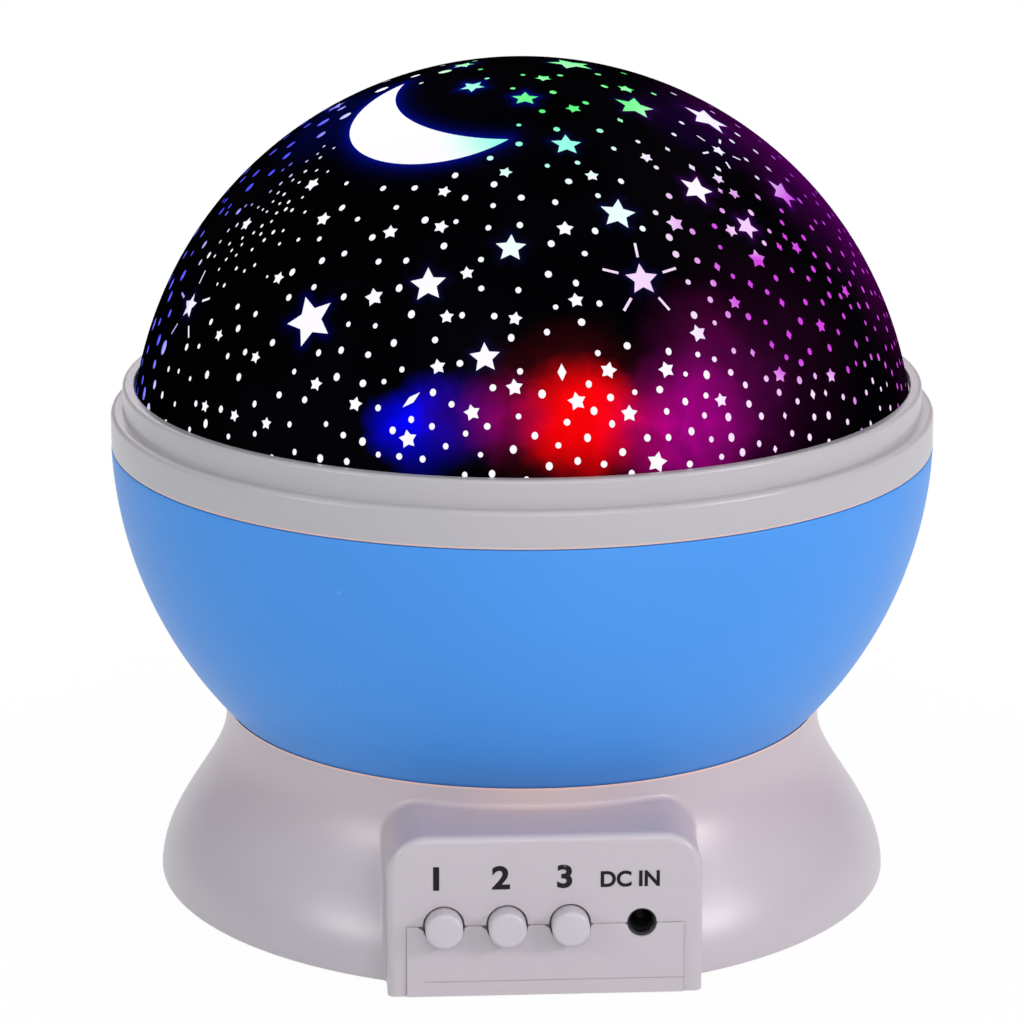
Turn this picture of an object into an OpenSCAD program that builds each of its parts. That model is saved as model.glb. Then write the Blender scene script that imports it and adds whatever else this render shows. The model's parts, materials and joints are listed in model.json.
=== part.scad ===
// Star night light projector: a white base, a blue bowl that turns on it, a white collar and a starry dome.
// Millimetres. The origin is on the table under the middle, +Z is up and the control block faces -Y.

/* [Base shell] */
// Outer radius of the skirt at its lower edge
base_r = 58.3; // [57.6:0.1:60]
// Outer radius of the neck that the bowl sits in
neck_r = 47.5; // [46.5:0.1:48.5]
// Wall thickness of the base shell
base_wall = 2; // [1.6:0.1:2.4]
// Thickness of the deck that carries the bowl
deck_t = 2; // [1.6:0.1:2.6]
// Free height under the deck for the wires over the battery bay
wire_space = 5.2; // [4:0.1:6]
// Free height between the deck and the bowl's floor for the gears
gear_space = 4.5; // [4.2:0.1:5.5]

/* [Control block] */
// Width of the control block
block_w = 47; // [45:0.5:50]
// How far the block's front face stands in front of the skirt's lower edge
block_proud = 1.1; // [1:0.1:3]
// Height of the block above the skirt's lower edge
block_h = 25; // [23:0.1:25.4]
// Radius of the block's two upper corners
block_corner_r = 6; // [4:0.5:8]
// Rounding of the block's front edges
block_edge_r = 1.2; // [1.2:0.1:2.4]
// Width of the cheeks left and right of the front panel
cheek_w = 2.8; // [2.4:0.1:3.6]
// Height of the parting line above the skirt's lower edge, through the button centres
parting_h = 11.1; // [10:0.1:12]
// How far the lower front panel stands proud of the shell
panel_proud = 0.3; // [0.1:0.05:0.6]

/* [Buttons and socket] */
// Distance of the first button left of the middle
first_button = 15.1; // [14:0.1:16]
// Distance between two buttons
button_pitch = 9.4; // [9:0.1:10]
// Radius of a button cap
button_r = 2.82; // [2.4:0.02:3]
// Clearance around a button cap
button_gap = 0.28; // [0.15:0.01:0.4]
// How far a button stands out at rest
button_proud = 2.8; // [2.2:0.1:3.4]
// Travel of a button
button_travel = 1.2; // [0.6:0.1:1.4]
// Radius of a button's retaining flange
flange_r = 4.1; // [3.7:0.1:4.3]
// Distance of the power socket right of the middle
socket_x = 14.4; // [13.5:0.1:15]
// Radius of the hole in front of the power socket
socket_hole_r = 2.2; // [2:0.05:2.8]
// Radius of the socket's bore, for a plug of 3.5 mm
socket_bore_r = 1.8; // [1.76:0.01:1.9]
// Radius of the socket's centre pin, for a plug bore of 1.35 mm
socket_pin_r = 0.65; // [0.55:0.01:0.66]

/* [Bottom plate and feet] */
// Thickness of the bottom plate and of the battery door
plate_t = 2; // [1.8:0.1:2.4]
// Gap between the bottom plate and the shell
plate_gap = 0.3; // [0.2:0.05:0.5]
// Radius of a rubber foot
foot_r = 4.5; // [3.5:0.1:5.5]
// Height of a rubber foot under the plate
foot_drop = 0.4; // [0.3:0.1:2]
// Depth of the recess that holds a foot
foot_recess = 1; // [0.6:0.1:1.2]
// Distance from a foot's rim to the plate's rim
foot_edge = 3.8; // [2.8:0.1:5]
// Radius of the base screws' shanks
base_screw_r = 1.3; // [1:0.05:1.5]
// Distance of the base screws from the middle line
base_screw_x = 38; // [36:0.5:39]

/* [Batteries] */
// Radius of a size AAA cell
cell_r = 5.25; // [5.1:0.05:5.4]
// Length of a size AAA cell with its button end
cell_len = 44.5; // [43.5:0.1:45]
// Gap between two cells
cell_gap = 0.3; // [0.2:0.05:0.5]
// Length of a compressed contact spring
spring_len = 3.5; // [3:0.1:4]
// Radius of the spring wire
spring_wire_r = 0.35; // [0.25:0.05:0.45]
// Wall thickness of the battery bay
bay_wall = 1.3; // [1:0.1:1.6]
// Gap around the battery door
door_gap = 0.3; // [0.2:0.05:0.4]

/* [Drive] */
// Tooth size of the gears
gear_module = 0.8; // [0.75:0.01:0.82]
// Teeth on the bowl's ring gear
bowl_teeth = 60; // [56:2:62]
// Teeth on the pinion
pinion_teeth = 16; // [14:1:18]
// Radius of the motor's output shaft
shaft_r = 1.5; // [1.2:0.1:1.8]
// Radius of the motor can
can_r = 9.5; // [8.5:0.1:10]
// Radius of the boss that the bowl turns on
boss_r = 14; // [13:0.1:14.6]
// Running clearance between boss and hub
run_gap = 0.1; // [0.05:0.01:0.1]
// Height of the boss above the deck
boss_h = 11; // [9:0.5:14]
// Thickness of the thrust washer
washer_t = 0.75; // [0.5:0.05:0.9]

/* [Bowl] */
// Outer radius of the bowl's sphere
bowl_r = 64.8; // [64:0.1:66]
// Height of the sphere's centre above the bowl's flat underside
bowl_depth = 46.5; // [46:0.1:47.5]
// Wall thickness of the bowl
bowl_wall = 2; // [1.6:0.1:2.4]
// How far the bowl's rim lies below the sphere's centre
rim_drop = 2; // [1:0.1:4]
// Gap between the bowl and the base's neck
neck_gap = 0.4; // [0.3:0.05:0.6]

/* [Collar ring] */
// Height of the collar's lower band
band_h = 5.7; // [5:0.1:8]
// Height of the collar's upper band, which a cover slips over
seat_h = 4.1; // [3.5:0.1:6]
// Width of the step between the two bands
band_step = 1.9; // [1.5:0.1:2.4]
// How deep the collar reaches into the bowl
spigot_h = 4.5; // [3:0.1:7]

/* [Dome] */
// How much smaller the dome's radius is than the bowl's
dome_inset = 3.15; // [2.8:0.05:3.6]
// How far the dome's centre lies below the collar's top
dome_drop = 11.8; // [10:0.1:12]
// Wall thickness of the clear dome
dome_wall = 1.6; // [1.2:0.1:2.2]
// Thickness of the black star layer
mask_t = 0.4; // [0.3:0.05:0.6]
// Gap between the dome and the collar's lip
lip_gap = 0.4; // [0.3:0.05:0.6]

/* [Light] */
// Height of the light post
post_h = 33; // [29:0.5:36]
// Outer radius of the light post
post_r = 7.5; // [7:0.1:9]
// Radius of the channel for the wires through boss and post
channel_r = 6; // [5:0.1:6.2]
// Radius of the light board
light_board_r = 24; // [23:0.5:30]
// Distance of the diodes from the middle
diode_ring_r = 19; // [15:0.5:20]
// Radius of a diode's lens
diode_r = 2.5; // [2:0.1:3]
// Thickness of the circuit boards
board_t = 1.6; // [1:0.1:2]

/* [Hidden] */
$fn = 96;

// Small clearances
fit = 0.05;
loose = 0.3;
far = 200;

// Heights, from the table upwards
base_z = foot_drop;
plate_top = base_z + plate_t;
cell_lift = 0.25;
cell_z = plate_top + cell_lift + cell_r;
bay_ceiling = cell_z + cell_r + cell_lift;
bay_top = bay_ceiling + bay_wall;
deck_under = bay_top + wire_space;
deck_z = deck_under + deck_t;
floor_z = deck_z + gear_space;
floor_t = 2;
bowl_z = floor_z + bowl_depth;
rim_z = bowl_z - rim_drop;
step_z = rim_z + fit + band_h;
collar_top = step_z + seat_h;
dome_z = collar_top - dome_drop;
parting_z = base_z + parting_h;
block_top = base_z + block_h;

// Radii of the round parts
skirt_steps = 22;
dome_r = bowl_r - dome_inset;
collar_r = bowl_r - 0.1;
seat_r = collar_r - band_step;
function ball_r(radius, centre, z) = sqrt(radius * radius - (z - centre) * (z - centre));
lip_h = 1.2;
lip_r = ball_r(dome_r, dome_z, collar_top) + lip_gap;
hub_r = boss_r + run_gap;
hub_wall = 2.9;
hub_out = hub_r + hub_wall;

// Radius of the skirt's outside at a height between its lower edge and the neck
function skirt_r(z) = neck_r + (base_r - neck_r) * (1 + cos(180 * (z - base_z) / (floor_z - base_z))) / 2;
function skirt_curve(low, high, inset) = [
  for (step = [0:skirt_steps])
    let (z = low + (high - low) * step / skirt_steps)
    [skirt_r(z) - inset, z]
];
function reversed(list) = [for (i = [len(list) - 1:-1:0]) list[i]];
// Height of the ball-shaped seat around the bowl, at a radius
function seat_z(radius) = bowl_z - sqrt(pow(bowl_r + neck_gap, 2) - radius * radius);

// Control block
front_y = -(base_r + block_proud);
wall_back_y = front_y + base_wall;
block_root_y = 12 - neck_r;
panel_half = block_w / 2 - cheek_w;
plate_r = skirt_r(plate_top) - base_wall - plate_gap;
foot_ring_r = plate_r - foot_edge - foot_r;
button_x = [-first_button, -first_button + button_pitch, -first_button + 2 * button_pitch];
hole_r = button_r + button_gap;

// Main board and what stands on it
switch_w = 6;
switch_d = 3.5;
switch_front_y = wall_back_y + 4.6;
socket_depth = 11;
plunger_r = 1.75;
plunger_in = 0.8;
board_top = parting_z - switch_w / 2 - fit;
board_front_y = switch_front_y - 1.4;
board_d = 15.4;
board_half = 20;
board_back_y = board_front_y + board_d;
board_screw_x = 17.5;
board_screw_y = board_back_y - 3;
small_screw_r = 0.9;
small_screw_bite = 2.4;
small_head_r = 1.7;
small_head_h = 1.2;

// Gears, with the pinion behind the middle
pressure_angle = 20;
tooth_play = 0.05;
centre_play = 0.05;
shaft_y = gear_module * (bowl_teeth + pinion_teeth) / 2 + centre_play;
gear_lift = 1.1;
gear_ring_t = gear_space - gear_lift - fit;
gear_screw_ring = (hub_out + gear_module * (bowl_teeth / 2 - 1.2)) / 2;

// Gearmotor
can_x = 12;
can_y = shaft_y + 0.6;
can_h = 10;
case_h = 6.5;
case_top = deck_under - fit;
case_bottom = case_top - case_h;
case_left = -12;
case_right = can_x + can_r;
case_front = can_y - can_r + 0.5;
case_back = can_y + can_r - 0.5;
case_boss_r = 3.5;
motor_screw_x = case_left + 3;
motor_screw_ys = [case_front + 3, case_back - 3];
motor_screw_r = 1;
motor_screw_bite = 5;

// Battery bay
cell_pitch = 2 * cell_r + cell_gap;
cell_xs = [for (i = [-1.5:1:1.5]) i * cell_pitch];
bay_half = 1.5 * cell_pitch + cell_r + 0.45;
bay_side = bay_half + bay_wall;
contact_t = 0.4;
contact_gap = 0.1;
end_space = contact_t + contact_gap;
tab_reach = bay_wall + 0.9;
bay_back = can_y - can_r - tab_reach - 0.7;
bay_len = cell_len + spring_len + 2 * end_space + 2 * contact_gap;
bay_front = bay_back - bay_len;
bay_wall_y = bay_front - bay_wall;
tab_w = 2.8;
tab_t = 1.2;
tab_lift = 0.15;
// The door turns about its lower back edge, and the tabs' tips are round about it
door_hinge_y = bay_back - door_gap;
tab_swing_r = 3.9;

// Fasteners of the shell
base_screw_points = [
  [base_screw_x, 14], [-base_screw_x, 14], [base_screw_x, -20], [-base_screw_x, -20]
];
base_head_r = 2.2;
base_head_h = 1.9;
base_head_recess = 0.6;
base_screw_len = 9;
plate_boss_h = 2;
boss_wall = 1.9;

// Light post and board
boss_top = deck_z + boss_h;
hub_top = boss_top - loose;
post_flange_r = hub_out + 0.5;
post_flange_t = 2;
post_top = boss_top + fit + post_h;
post_screw_ring = (channel_r + boss_r) / 2;
post_head_r = 3.6;
light_board_z = post_top + fit;
diode_z = light_board_z + board_t + fit;
diode_turn = 15;
light_screw_ring = post_r + 2.6;

// Seat of the dome in the collar
ledge_t = 1.5;
ledge_z = rim_z + 0.8;
dome_seat_z = ledge_z + ledge_t + fit;
clear_r = dome_r - mask_t - fit;
chamber_r = clear_r + 0.2;
ledge_in = clear_r - 4.7;
dome_flange_t = 2;
dome_screw_ring = (ledge_in + clear_r) / 2 - 0.1;
spigot_z = rim_z - spigot_h;
spigot_r = ball_r(bowl_r - bowl_wall, bowl_z, spigot_z) - 0.15;
spigot_wall = 1.5;
mask_low = collar_top - 2.8;

// Figures of the star layer: turn from the front, height above the dome's equator, width
star_figures = [
  [-39, 30, 8.2], [-19.5, 37, 5.6], [-5.5, 43, 4.7], [-9, 27, 4.6], [16.5, 48, 5.6], [17.5, 37.5, 5.2],
  [38, 50.5, 5.6], [9.5, 61.5, 4.8], [45.5, 68.5, 6.6], [71, 61.5, 8.2], [64, 46, 6], [44.5, 43, 4.3],
  [-28.5, 34.5, 3], [-2, 73.5, 4.4], [-99, 81.5, 4.2], [92, 83, 8], [-70, 27, 4.4], [-35, 76.5, 4.2],
  [-105, 40, 5.5], [-130, 22, 4.5], [110, 35, 5.5], [135, 55, 4.5], [160, 28, 6], [-160, 48, 5],
  [-95, 62, 4.2], [180, 68, 4.5], [90, 20, 4]
];
ray_figures = [[17.5, 37.5], [56, 56], [-70, 27]];
ray_ring = 5.2;
ray_len = 2.4;
ray_w = 0.45;
star_waist = 0.48;
moon_turn = -38;
moon_height = 70.3;
moon_r = 14.95;
moon_bite_r = 18.4;
moon_bite = 12.65;
moon_roll = -23.6;

// Points of the wires, chosen along their way
light_wire_points = [
  [0, board_back_y - 1.5, board_top + 0.6], [0, board_back_y - 1.2, board_top + 4],
  [0, board_back_y + 1.5, bay_top + 0.6], [0, board_back_y + 7, bay_top + wire_space / 2],
  [0, -22, bay_top + wire_space / 2], [0, -10, bay_top + wire_space / 2],
  [0, -3.6, deck_under - 1.2], [0, -0.6, deck_z], [0, 0, deck_z + 6], [0, 0, boss_top + 6],
  [0, 0, post_top - post_h / 3], [0, 0, post_top - 0.4]
];
battery_wire_points = [
  [14, bay_wall_y - 0.7, cell_z + 4], [12.5, bay_wall_y - 2.4, cell_z + 5],
  [9, board_back_y + 1.5, cell_z + 3.5], [7.5, board_back_y - 1.5, board_top + 0.7]
];
// Middle of the gap between the main board and the battery bay
wire_gap_y = (board_back_y + bay_wall_y) / 2;
motor_wire_points = [
  [can_x + can_r + 0.2, can_y - 1, cell_z], [can_x + can_r + 3.5, can_y - 4, cell_z],
  [bay_side + 4, bay_back, cell_z], [bay_side + 5.5, 5, cell_z],
  [bay_side + 5.5, -15, cell_z], [bay_side + 3.5, bay_wall_y, cell_z + 0.5],
  [bay_side - 0.7, wire_gap_y, board_top + 2.5], [17, wire_gap_y - 1.2, board_top + 3.4],
  [13.2, board_back_y, board_top + 2.4], [12.2, board_back_y - 1.5, board_top + 0.8]
];
wire_r = 0.55;
wire_sides = 8;

// Curve through the given points, with a few places between each two
function mixed(a, b, c, d, t) =
  0.5 * (2 * b + (c - a) * t + (2 * a - 5 * b + 4 * c - d) * t * t + (3 * b - a - 3 * c + d) * t * t * t);
function smooth_path(points, parts) = [
  for (i = [0:len(points) - 2], k = [0:parts - 1])
    mixed(points[max(i - 1, 0)], points[i], points[i + 1], points[min(i + 2, len(points) - 1)], k / parts),
  points[len(points) - 1]
];
function unit(v) = v / norm(v);
function direction(path, i) = unit(path[min(i + 1, len(path) - 1)] - path[max(i - 1, 0)]);

// Round wire along a path. The path never runs along the side vector.
module wire(path, radius, side, sides = wire_sides, aside = [0, 0]) {
  count = len(path);
  rings = [
    for (i = [0:count - 1])
      let (ahead = direction(path, i))
      let (across = unit(cross(ahead, side)))
      let (over = cross(across, ahead))
      for (k = [0:sides - 1])
        let (turn = 360 * k / sides)
        path[i] + across * (aside[0] + radius * cos(turn)) + over * (aside[1] + radius * sin(turn))
  ];
  skin = [
    for (i = [0:count - 2], k = [0:sides - 1])
      let (next = (k + 1) % sides)
      [i * sides + k, i * sides + next, (i + 1) * sides + next, (i + 1) * sides + k]
  ];
  first_cap = [for (k = [sides - 1:-1:0]) k];
  last_cap = [for (k = [0:sides - 1]) (count - 1) * sides + k];
  polyhedron(points = rings, faces = concat(skin, [first_cap, last_cap]));
}

// Involute gear
function involute(angle) = tan(angle) * 180 / PI - angle;
function tooth_half(radius, pitch_r, base, teeth) =
  90 / teeth - tooth_play / pitch_r * 180 / PI + involute(pressure_angle) - involute(acos(min(1, base / radius)));
function on_circle(radius, angle) = [radius * cos(angle), radius * sin(angle)];
module gear_outline(teeth) {
  pitch_r = gear_module * teeth / 2;
  flank_base = pitch_r * cos(pressure_angle);
  tip_r = pitch_r + 0.9 * gear_module;
  root_r = pitch_r - 1.2 * gear_module;
  low_r = max(flank_base, root_r);
  radii = [for (i = [0:3]) low_r + (tip_r - low_r) * i / 3];
  rising = [for (r = radii) [r, -tooth_half(r, pitch_r, flank_base, teeth)]];
  falling = [for (i = [3:-1:0]) [radii[i], tooth_half(radii[i], pitch_r, flank_base, teeth)]];
  root_half = tooth_half(low_r, pitch_r, flank_base, teeth);
  tooth = concat([[root_r, -root_half]], rising, falling, [[root_r, root_half]]);
  polygon([for (i = [0:teeth - 1], p = tooth) on_circle(p[0], p[1] + 360 * i / teeth)]);
}

// Five-pointed star of a given width, with a point along +Y
module star_outline(width) {
  polygon([
    for (i = [0:9]) on_circle(width / 2 * (i % 2 == 0 ? 1 : star_waist), 90 + 36 * i)
  ]);
}
// Puts a flat figure on the dome: turn from the front towards +X, height above the equator
module on_dome(turn, height) {
  translate([0, 0, dome_z])
    rotate([0, 0, turn])
      rotate([90 - height, 0, 0])
        translate([0, 0, dome_r - 3])
          linear_extrude(6) children();
}

module ring(outer, inner, height) {
  difference() {
    cylinder(r = outer, h = height);
    translate([0, 0, -1]) cylinder(r = inner, h = height + 2);
  }
}
// Screw with its head below and its shank pointing up
module screw_up(head_r, head_h, shank_r, length) {
  translate([0, 0, -head_h]) cylinder(r = head_r, h = head_h);
  cylinder(r = shank_r, h = length);
}
// Round body along +Y from a front point
module rod_y(x, y, z, radius, length) {
  translate([x, y, z]) rotate([-90, 0, 0]) cylinder(r = radius, h = length);
}

// Control block as a solid, drawn in by an inset on its outer faces
module block_solid(inset) {
  half = block_w / 2 - inset;
  top = block_top - inset;
  front = front_y + inset;
  back = block_root_y;
  low = base_z - inset;
  corner = block_corner_r - inset;
  edge = max(block_edge_r - inset, 0.1);
  intersection() {
    translate([0, back, 0]) rotate([90, 0, 0]) linear_extrude(back - front) {
      translate([-half, low]) square([2 * half, top - corner - low]);
      translate([-half + corner, low]) square([2 * (half - corner), top - low]);
      for (x = [-half + corner, half - corner]) translate([x, top - corner]) circle(r = corner);
    }
    translate([0, 0, low]) linear_extrude(top - low) {
      translate([-half, front + edge]) square([2 * half, back - front - edge]);
      translate([-half + edge, front]) square([2 * (half - edge), back - front]);
      for (x = [-half + edge, half - edge]) translate([x, front + edge]) circle(r = edge);
    }
    translate([-half, 0, 0]) rotate([90, 0, 90]) linear_extrude(2 * half) {
      translate([front, low]) square([back - front, top - edge - low]);
      translate([front + edge, low]) square([back - front - edge, top - low]);
      translate([front + edge, top - edge]) circle(r = edge);
    }
  }
}

module base_shell() {
  inner_r = neck_r - base_wall;
  color("gainsboro") difference() {
    union() {
      rotate_extrude() polygon(concat(
        skirt_curve(base_z, floor_z, 0),
        [[neck_r, seat_z(neck_r)], [inner_r, seat_z(inner_r)], [inner_r, deck_z], [boss_r, deck_z]],
        [[boss_r, boss_top], [channel_r, boss_top], [channel_r, deck_under]],
        reversed(skirt_curve(base_z, deck_under, base_wall))
      ));
      difference() {
        block_solid(0);
        rotate_extrude() polygon(concat(
          [[0, base_z - 1], [base_r - base_wall / 2, base_z - 1]],
          skirt_curve(base_z, floor_z, base_wall / 2),
          [[neck_r - base_wall / 2, block_top + 1], [0, block_top + 1]]
        ));
      }
      for (p = base_screw_points)
        translate([p[0], p[1], plate_top + plate_boss_h + fit])
          cylinder(r = base_screw_r + boss_wall, h = deck_under - plate_top - plate_boss_h);
    }
    difference() {
      block_solid(base_wall);
      translate([0, 0, deck_under]) cylinder(r = skirt_r(deck_under), h = far);
    }
    translate([-panel_half, front_y - 1, base_z - 1])
      cube([2 * panel_half, base_wall + 1.5, parting_h + 1]);
    for (x = button_x) rod_y(x, front_y - 1, parting_z, hole_r, base_wall + 2);
    rod_y(socket_x, front_y - 1, parting_z, socket_hole_r, base_wall + 2);
    for (p = base_screw_points)
      translate([p[0], p[1], 0]) cylinder(r = base_screw_r + fit, h = plate_top + base_screw_len);
    for (k = [0:2]) rotate([0, 0, 120 * k + 30])
      translate([post_screw_ring, 0, boss_top - 7]) cylinder(r = motor_screw_r + fit, h = 8);
    translate([0, shaft_y, deck_under - 1]) cylinder(r = case_boss_r + loose, h = deck_t + 2);
    for (y = motor_screw_ys)
      translate([motor_screw_x, y, deck_under - 1]) cylinder(r = motor_screw_r + fit, h = deck_t + 2);
  }
}

module bottom_plate() {
  tongue = panel_half - fit;
  tongue_back = -plate_r + 8;
  color("gainsboro") difference() {
    union() {
      translate([0, 0, base_z]) cylinder(r = plate_r, h = plate_t);
      translate([-tongue, front_y - panel_proud, base_z])
        cube([2 * tongue, tongue_back - front_y + panel_proud, plate_t]);
      translate([-tongue, front_y - panel_proud, base_z])
        cube([2 * tongue, base_wall + panel_proud, parting_h - fit]);
      translate([-bay_side, bay_wall_y, base_z])
        cube([2 * bay_side, bay_len + 2 * bay_wall, bay_top - base_z]);
      for (side = [-1, 1])
        translate([side * board_screw_x, board_screw_y, plate_top - 0.5])
          cylinder(r = small_screw_r + 1.6, h = board_top - board_t - fit - plate_top + 0.5);
      for (p = base_screw_points)
        translate([p[0], p[1], base_z])
          cylinder(r = base_head_r + 1.6, h = plate_t + plate_boss_h);
    }
    translate([-bay_half, bay_front, base_z - 1])
      cube([2 * bay_half, bay_len, bay_ceiling - base_z + 1]);
    for (x = [-cell_pitch, cell_pitch])
      translate([x - tab_w / 2 - 0.4, bay_back - 1, plate_top])
        cube([tab_w + 0.8, bay_wall + 2, tab_lift + tab_t + 1.4]);
    for (x = button_x) rod_y(x, front_y - 2, parting_z, hole_r, base_wall + 3);
    rod_y(socket_x, front_y - 2, parting_z, socket_hole_r, base_wall + 3);
    for (side = [-1, 1])
      translate([side * board_screw_x, board_screw_y, plate_top])
        cylinder(r = small_screw_r + fit, h = board_top);
    for (p = base_screw_points) translate([p[0], p[1], 0]) {
      cylinder(r = base_screw_r + 0.2, h = deck_z);
      cylinder(r = base_head_r + 0.2, h = base_z + base_head_recess + base_head_h);
    }
    for (k = [0:3]) rotate([0, 0, 45 + 90 * k])
      translate([foot_ring_r, 0, 0]) cylinder(r = foot_r + fit, h = base_z + foot_recess);
  }
}

module battery_door() {
  tab_root = 3.5;
  thumb_r = 5;
  thumb_w = 14;
  thumb_depth = 0.9;
  thumb_y = 9;
  color("gainsboro") difference() {
    union() {
      translate([-bay_half + door_gap, bay_front + door_gap, base_z])
        cube([2 * (bay_half - door_gap), bay_len - 2 * door_gap, plate_t]);
      intersection() {
        for (x = [-cell_pitch, cell_pitch]) {
          translate([x - tab_w / 2, bay_back - tab_root, plate_top - 0.5])
            cube([tab_w, tab_root - door_gap - 0.1, tab_lift + tab_t + 0.5]);
          translate([x - tab_w / 2, bay_back - tab_root, plate_top + tab_lift])
            cube([tab_w, tab_root + tab_reach, tab_t]);
        }
        translate([0, door_hinge_y, base_z]) rotate([0, 90, 0])
          cylinder(r = tab_swing_r, h = 2 * bay_half, center = true);
      }
    }
    translate([0, bay_front + thumb_y, base_z - thumb_r + thumb_depth]) rotate([0, 90, 0])
      cylinder(r = thumb_r, h = thumb_w, center = true);
  }
}

module rubber_feet() {
  color("dimgray") for (k = [0:3]) rotate([0, 0, 45 + 90 * k])
    translate([foot_ring_r, 0, 0]) cylinder(r = foot_r, h = foot_drop + foot_recess - fit);
}

module base_screws() {
  color("silver") for (p = base_screw_points)
    translate([p[0], p[1], base_z + base_head_recess + base_head_h - fit])
      screw_up(base_head_r, base_head_h - fit, base_screw_r, base_screw_len - 3);
}

// Cells lie side by side, and every second one points the other way
module battery_cells() {
  button_len = 1;
  color("seagreen") for (i = [0:3]) translate([cell_xs[i], 0, cell_z]) mirror([0, i % 2, 0]) {
    shift = i % 2 == 0 ? 0 : -bay_front - bay_back;
    tip = bay_back + shift - end_space - contact_gap;
    translate([0, tip - cell_len, 0]) rotate([-90, 0, 0]) cylinder(r = cell_r, h = cell_len - button_len);
    translate([0, tip - button_len, 0]) rotate([-90, 0, 0]) cylinder(r = 1.9, h = button_len);
  }
}

module battery_springs() {
  turns = 3.5;
  steps = 12;
  wide_r = 2.9;
  narrow_r = 1.8;
  color("silver") for (i = [0:3]) translate([cell_xs[i], 0, cell_z]) mirror([0, i % 2, 0]) {
    shift = i % 2 == 0 ? 0 : -bay_front - bay_back;
    start = bay_front + shift + end_space + spring_wire_r + fit;
    rise = spring_len - 2 * spring_wire_r - 0.1;
    coil = [
      for (k = [0:turns * steps])
        let (part = k / (turns * steps))
        let (r = wide_r - (wide_r - narrow_r) * part)
        [r * cos(360 * k / steps), start + rise * part, r * sin(360 * k / steps)]
    ];
    wire(coil, spring_wire_r, [0, 1, 0], 6);
  }
}

module battery_contacts() {
  size = 6.6;
  color("silver") {
    for (x = [-cell_pitch, cell_pitch])
      translate([x - (cell_pitch + size) / 2, bay_back - end_space, cell_z - size / 2])
        cube([cell_pitch + size, contact_t, size]);
    translate([-(cell_pitch + size) / 2, bay_front + contact_gap, cell_z - size / 2])
      cube([cell_pitch + size, contact_t, size]);
    for (x = [cell_xs[0], cell_xs[3]])
      translate([x - size / 2, bay_front + contact_gap, cell_z - size / 2]) cube([size, contact_t, size]);
  }
}

module main_board() {
  color("darkgreen") difference() {
    translate([-board_half, board_front_y, board_top - board_t]) cube([2 * board_half, board_d, board_t]);
    for (side = [-1, 1])
      translate([side * board_screw_x, board_screw_y, 0]) cylinder(r = small_screw_r + 0.2, h = board_top + 1);
  }
}

module board_screws() {
  color("silver") for (side = [-1, 1])
    translate([side * board_screw_x, board_screw_y, board_top + fit]) rotate([180, 0, 0])
      screw_up(small_head_r, small_head_h, small_screw_r, board_t + small_screw_bite);
}

module driver_chip() {
  chip_size = [5, 4, 1.5];
  chip_y = board_front_y + 0.45 * board_d;
  color("black") translate([-board_half / 2, chip_y, board_top + fit]) cube(chip_size);
}

module filter_capacitor() {
  can_size = [2.5, 6.5];
  color("midnightblue") translate([board_half / 4, board_front_y + 0.58 * board_d, board_top + fit])
    cylinder(r = can_size[0], h = can_size[1]);
}

module switch_bodies() {
  color("dimgray") difference() {
    for (x = button_x)
      translate([x - switch_w / 2, switch_front_y, parting_z - switch_w / 2]) cube([switch_w, switch_d, switch_w]);
    for (x = button_x)
      rod_y(x, switch_front_y - 1, parting_z, plunger_r + fit, 1 + plunger_in + button_travel + 0.3);
  }
}

module power_socket() {
  width = 9;
  height = 6.5;
  color("black") difference() {
    translate([socket_x - width / 2, wall_back_y + 0.2, board_top + fit]) cube([width, socket_depth, height]);
    rod_y(socket_x, wall_back_y - 1, parting_z, socket_bore_r, socket_depth - 1);
  }
}

module socket_pin() {
  color("silver") rod_y(socket_x, wall_back_y + 1.2, parting_z, socket_pin_r, socket_depth - 3.2 - fit);
}

module gear_case() {
  corner = 3;
  color("white") difference() {
    union() {
      translate([0, 0, case_bottom]) linear_extrude(case_h) {
        translate([case_left, case_front + corner])
          square([case_right - case_left, case_back - case_front - 2 * corner]);
        translate([case_left + corner, case_front])
          square([case_right - case_left - 2 * corner, case_back - case_front]);
        for (x = [case_left + corner, case_right - corner], y = [case_front + corner, case_back - corner])
          translate([x, y]) circle(r = corner);
      }
      translate([0, shaft_y, case_bottom]) cylinder(r = case_boss_r, h = case_h + deck_t - loose);
    }
    translate([0, shaft_y, case_bottom + 1]) cylinder(r = shaft_r + fit, h = far);
    for (y = motor_screw_ys) translate([motor_screw_x, y, 0]) cylinder(r = motor_screw_r + 0.2, h = far);
  }
}

module motor_can() {
  color("silver") translate([can_x, can_y, case_bottom - fit - can_h]) {
    cylinder(r = can_r, h = can_h);
  }
}

module motor_screws() {
  color("silver") for (y = motor_screw_ys)
    translate([motor_screw_x, y, case_bottom - fit])
      screw_up(small_head_r, small_head_h, motor_screw_r, case_h + deck_t - loose);
}

module motor_shaft() {
  color("silver") translate([0, shaft_y, case_bottom + 1 + fit])
    cylinder(r = shaft_r, h = floor_z - 0.5 - case_bottom - 1 - fit);
}

module drive_pinion() {
  color("ivory") translate([0, shaft_y, deck_z + 0.6]) difference() {
    linear_extrude(gear_space - 1) rotate(-90) gear_outline(pinion_teeth);
    translate([0, 0, -1]) cylinder(r = shaft_r + 0.02, h = gear_space + 2);
  }
}

module thrust_washer() {
  color("white") translate([0, 0, deck_z + 0.02]) ring(hub_out + 0.3, boss_r + 0.15, washer_t);
}

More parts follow.
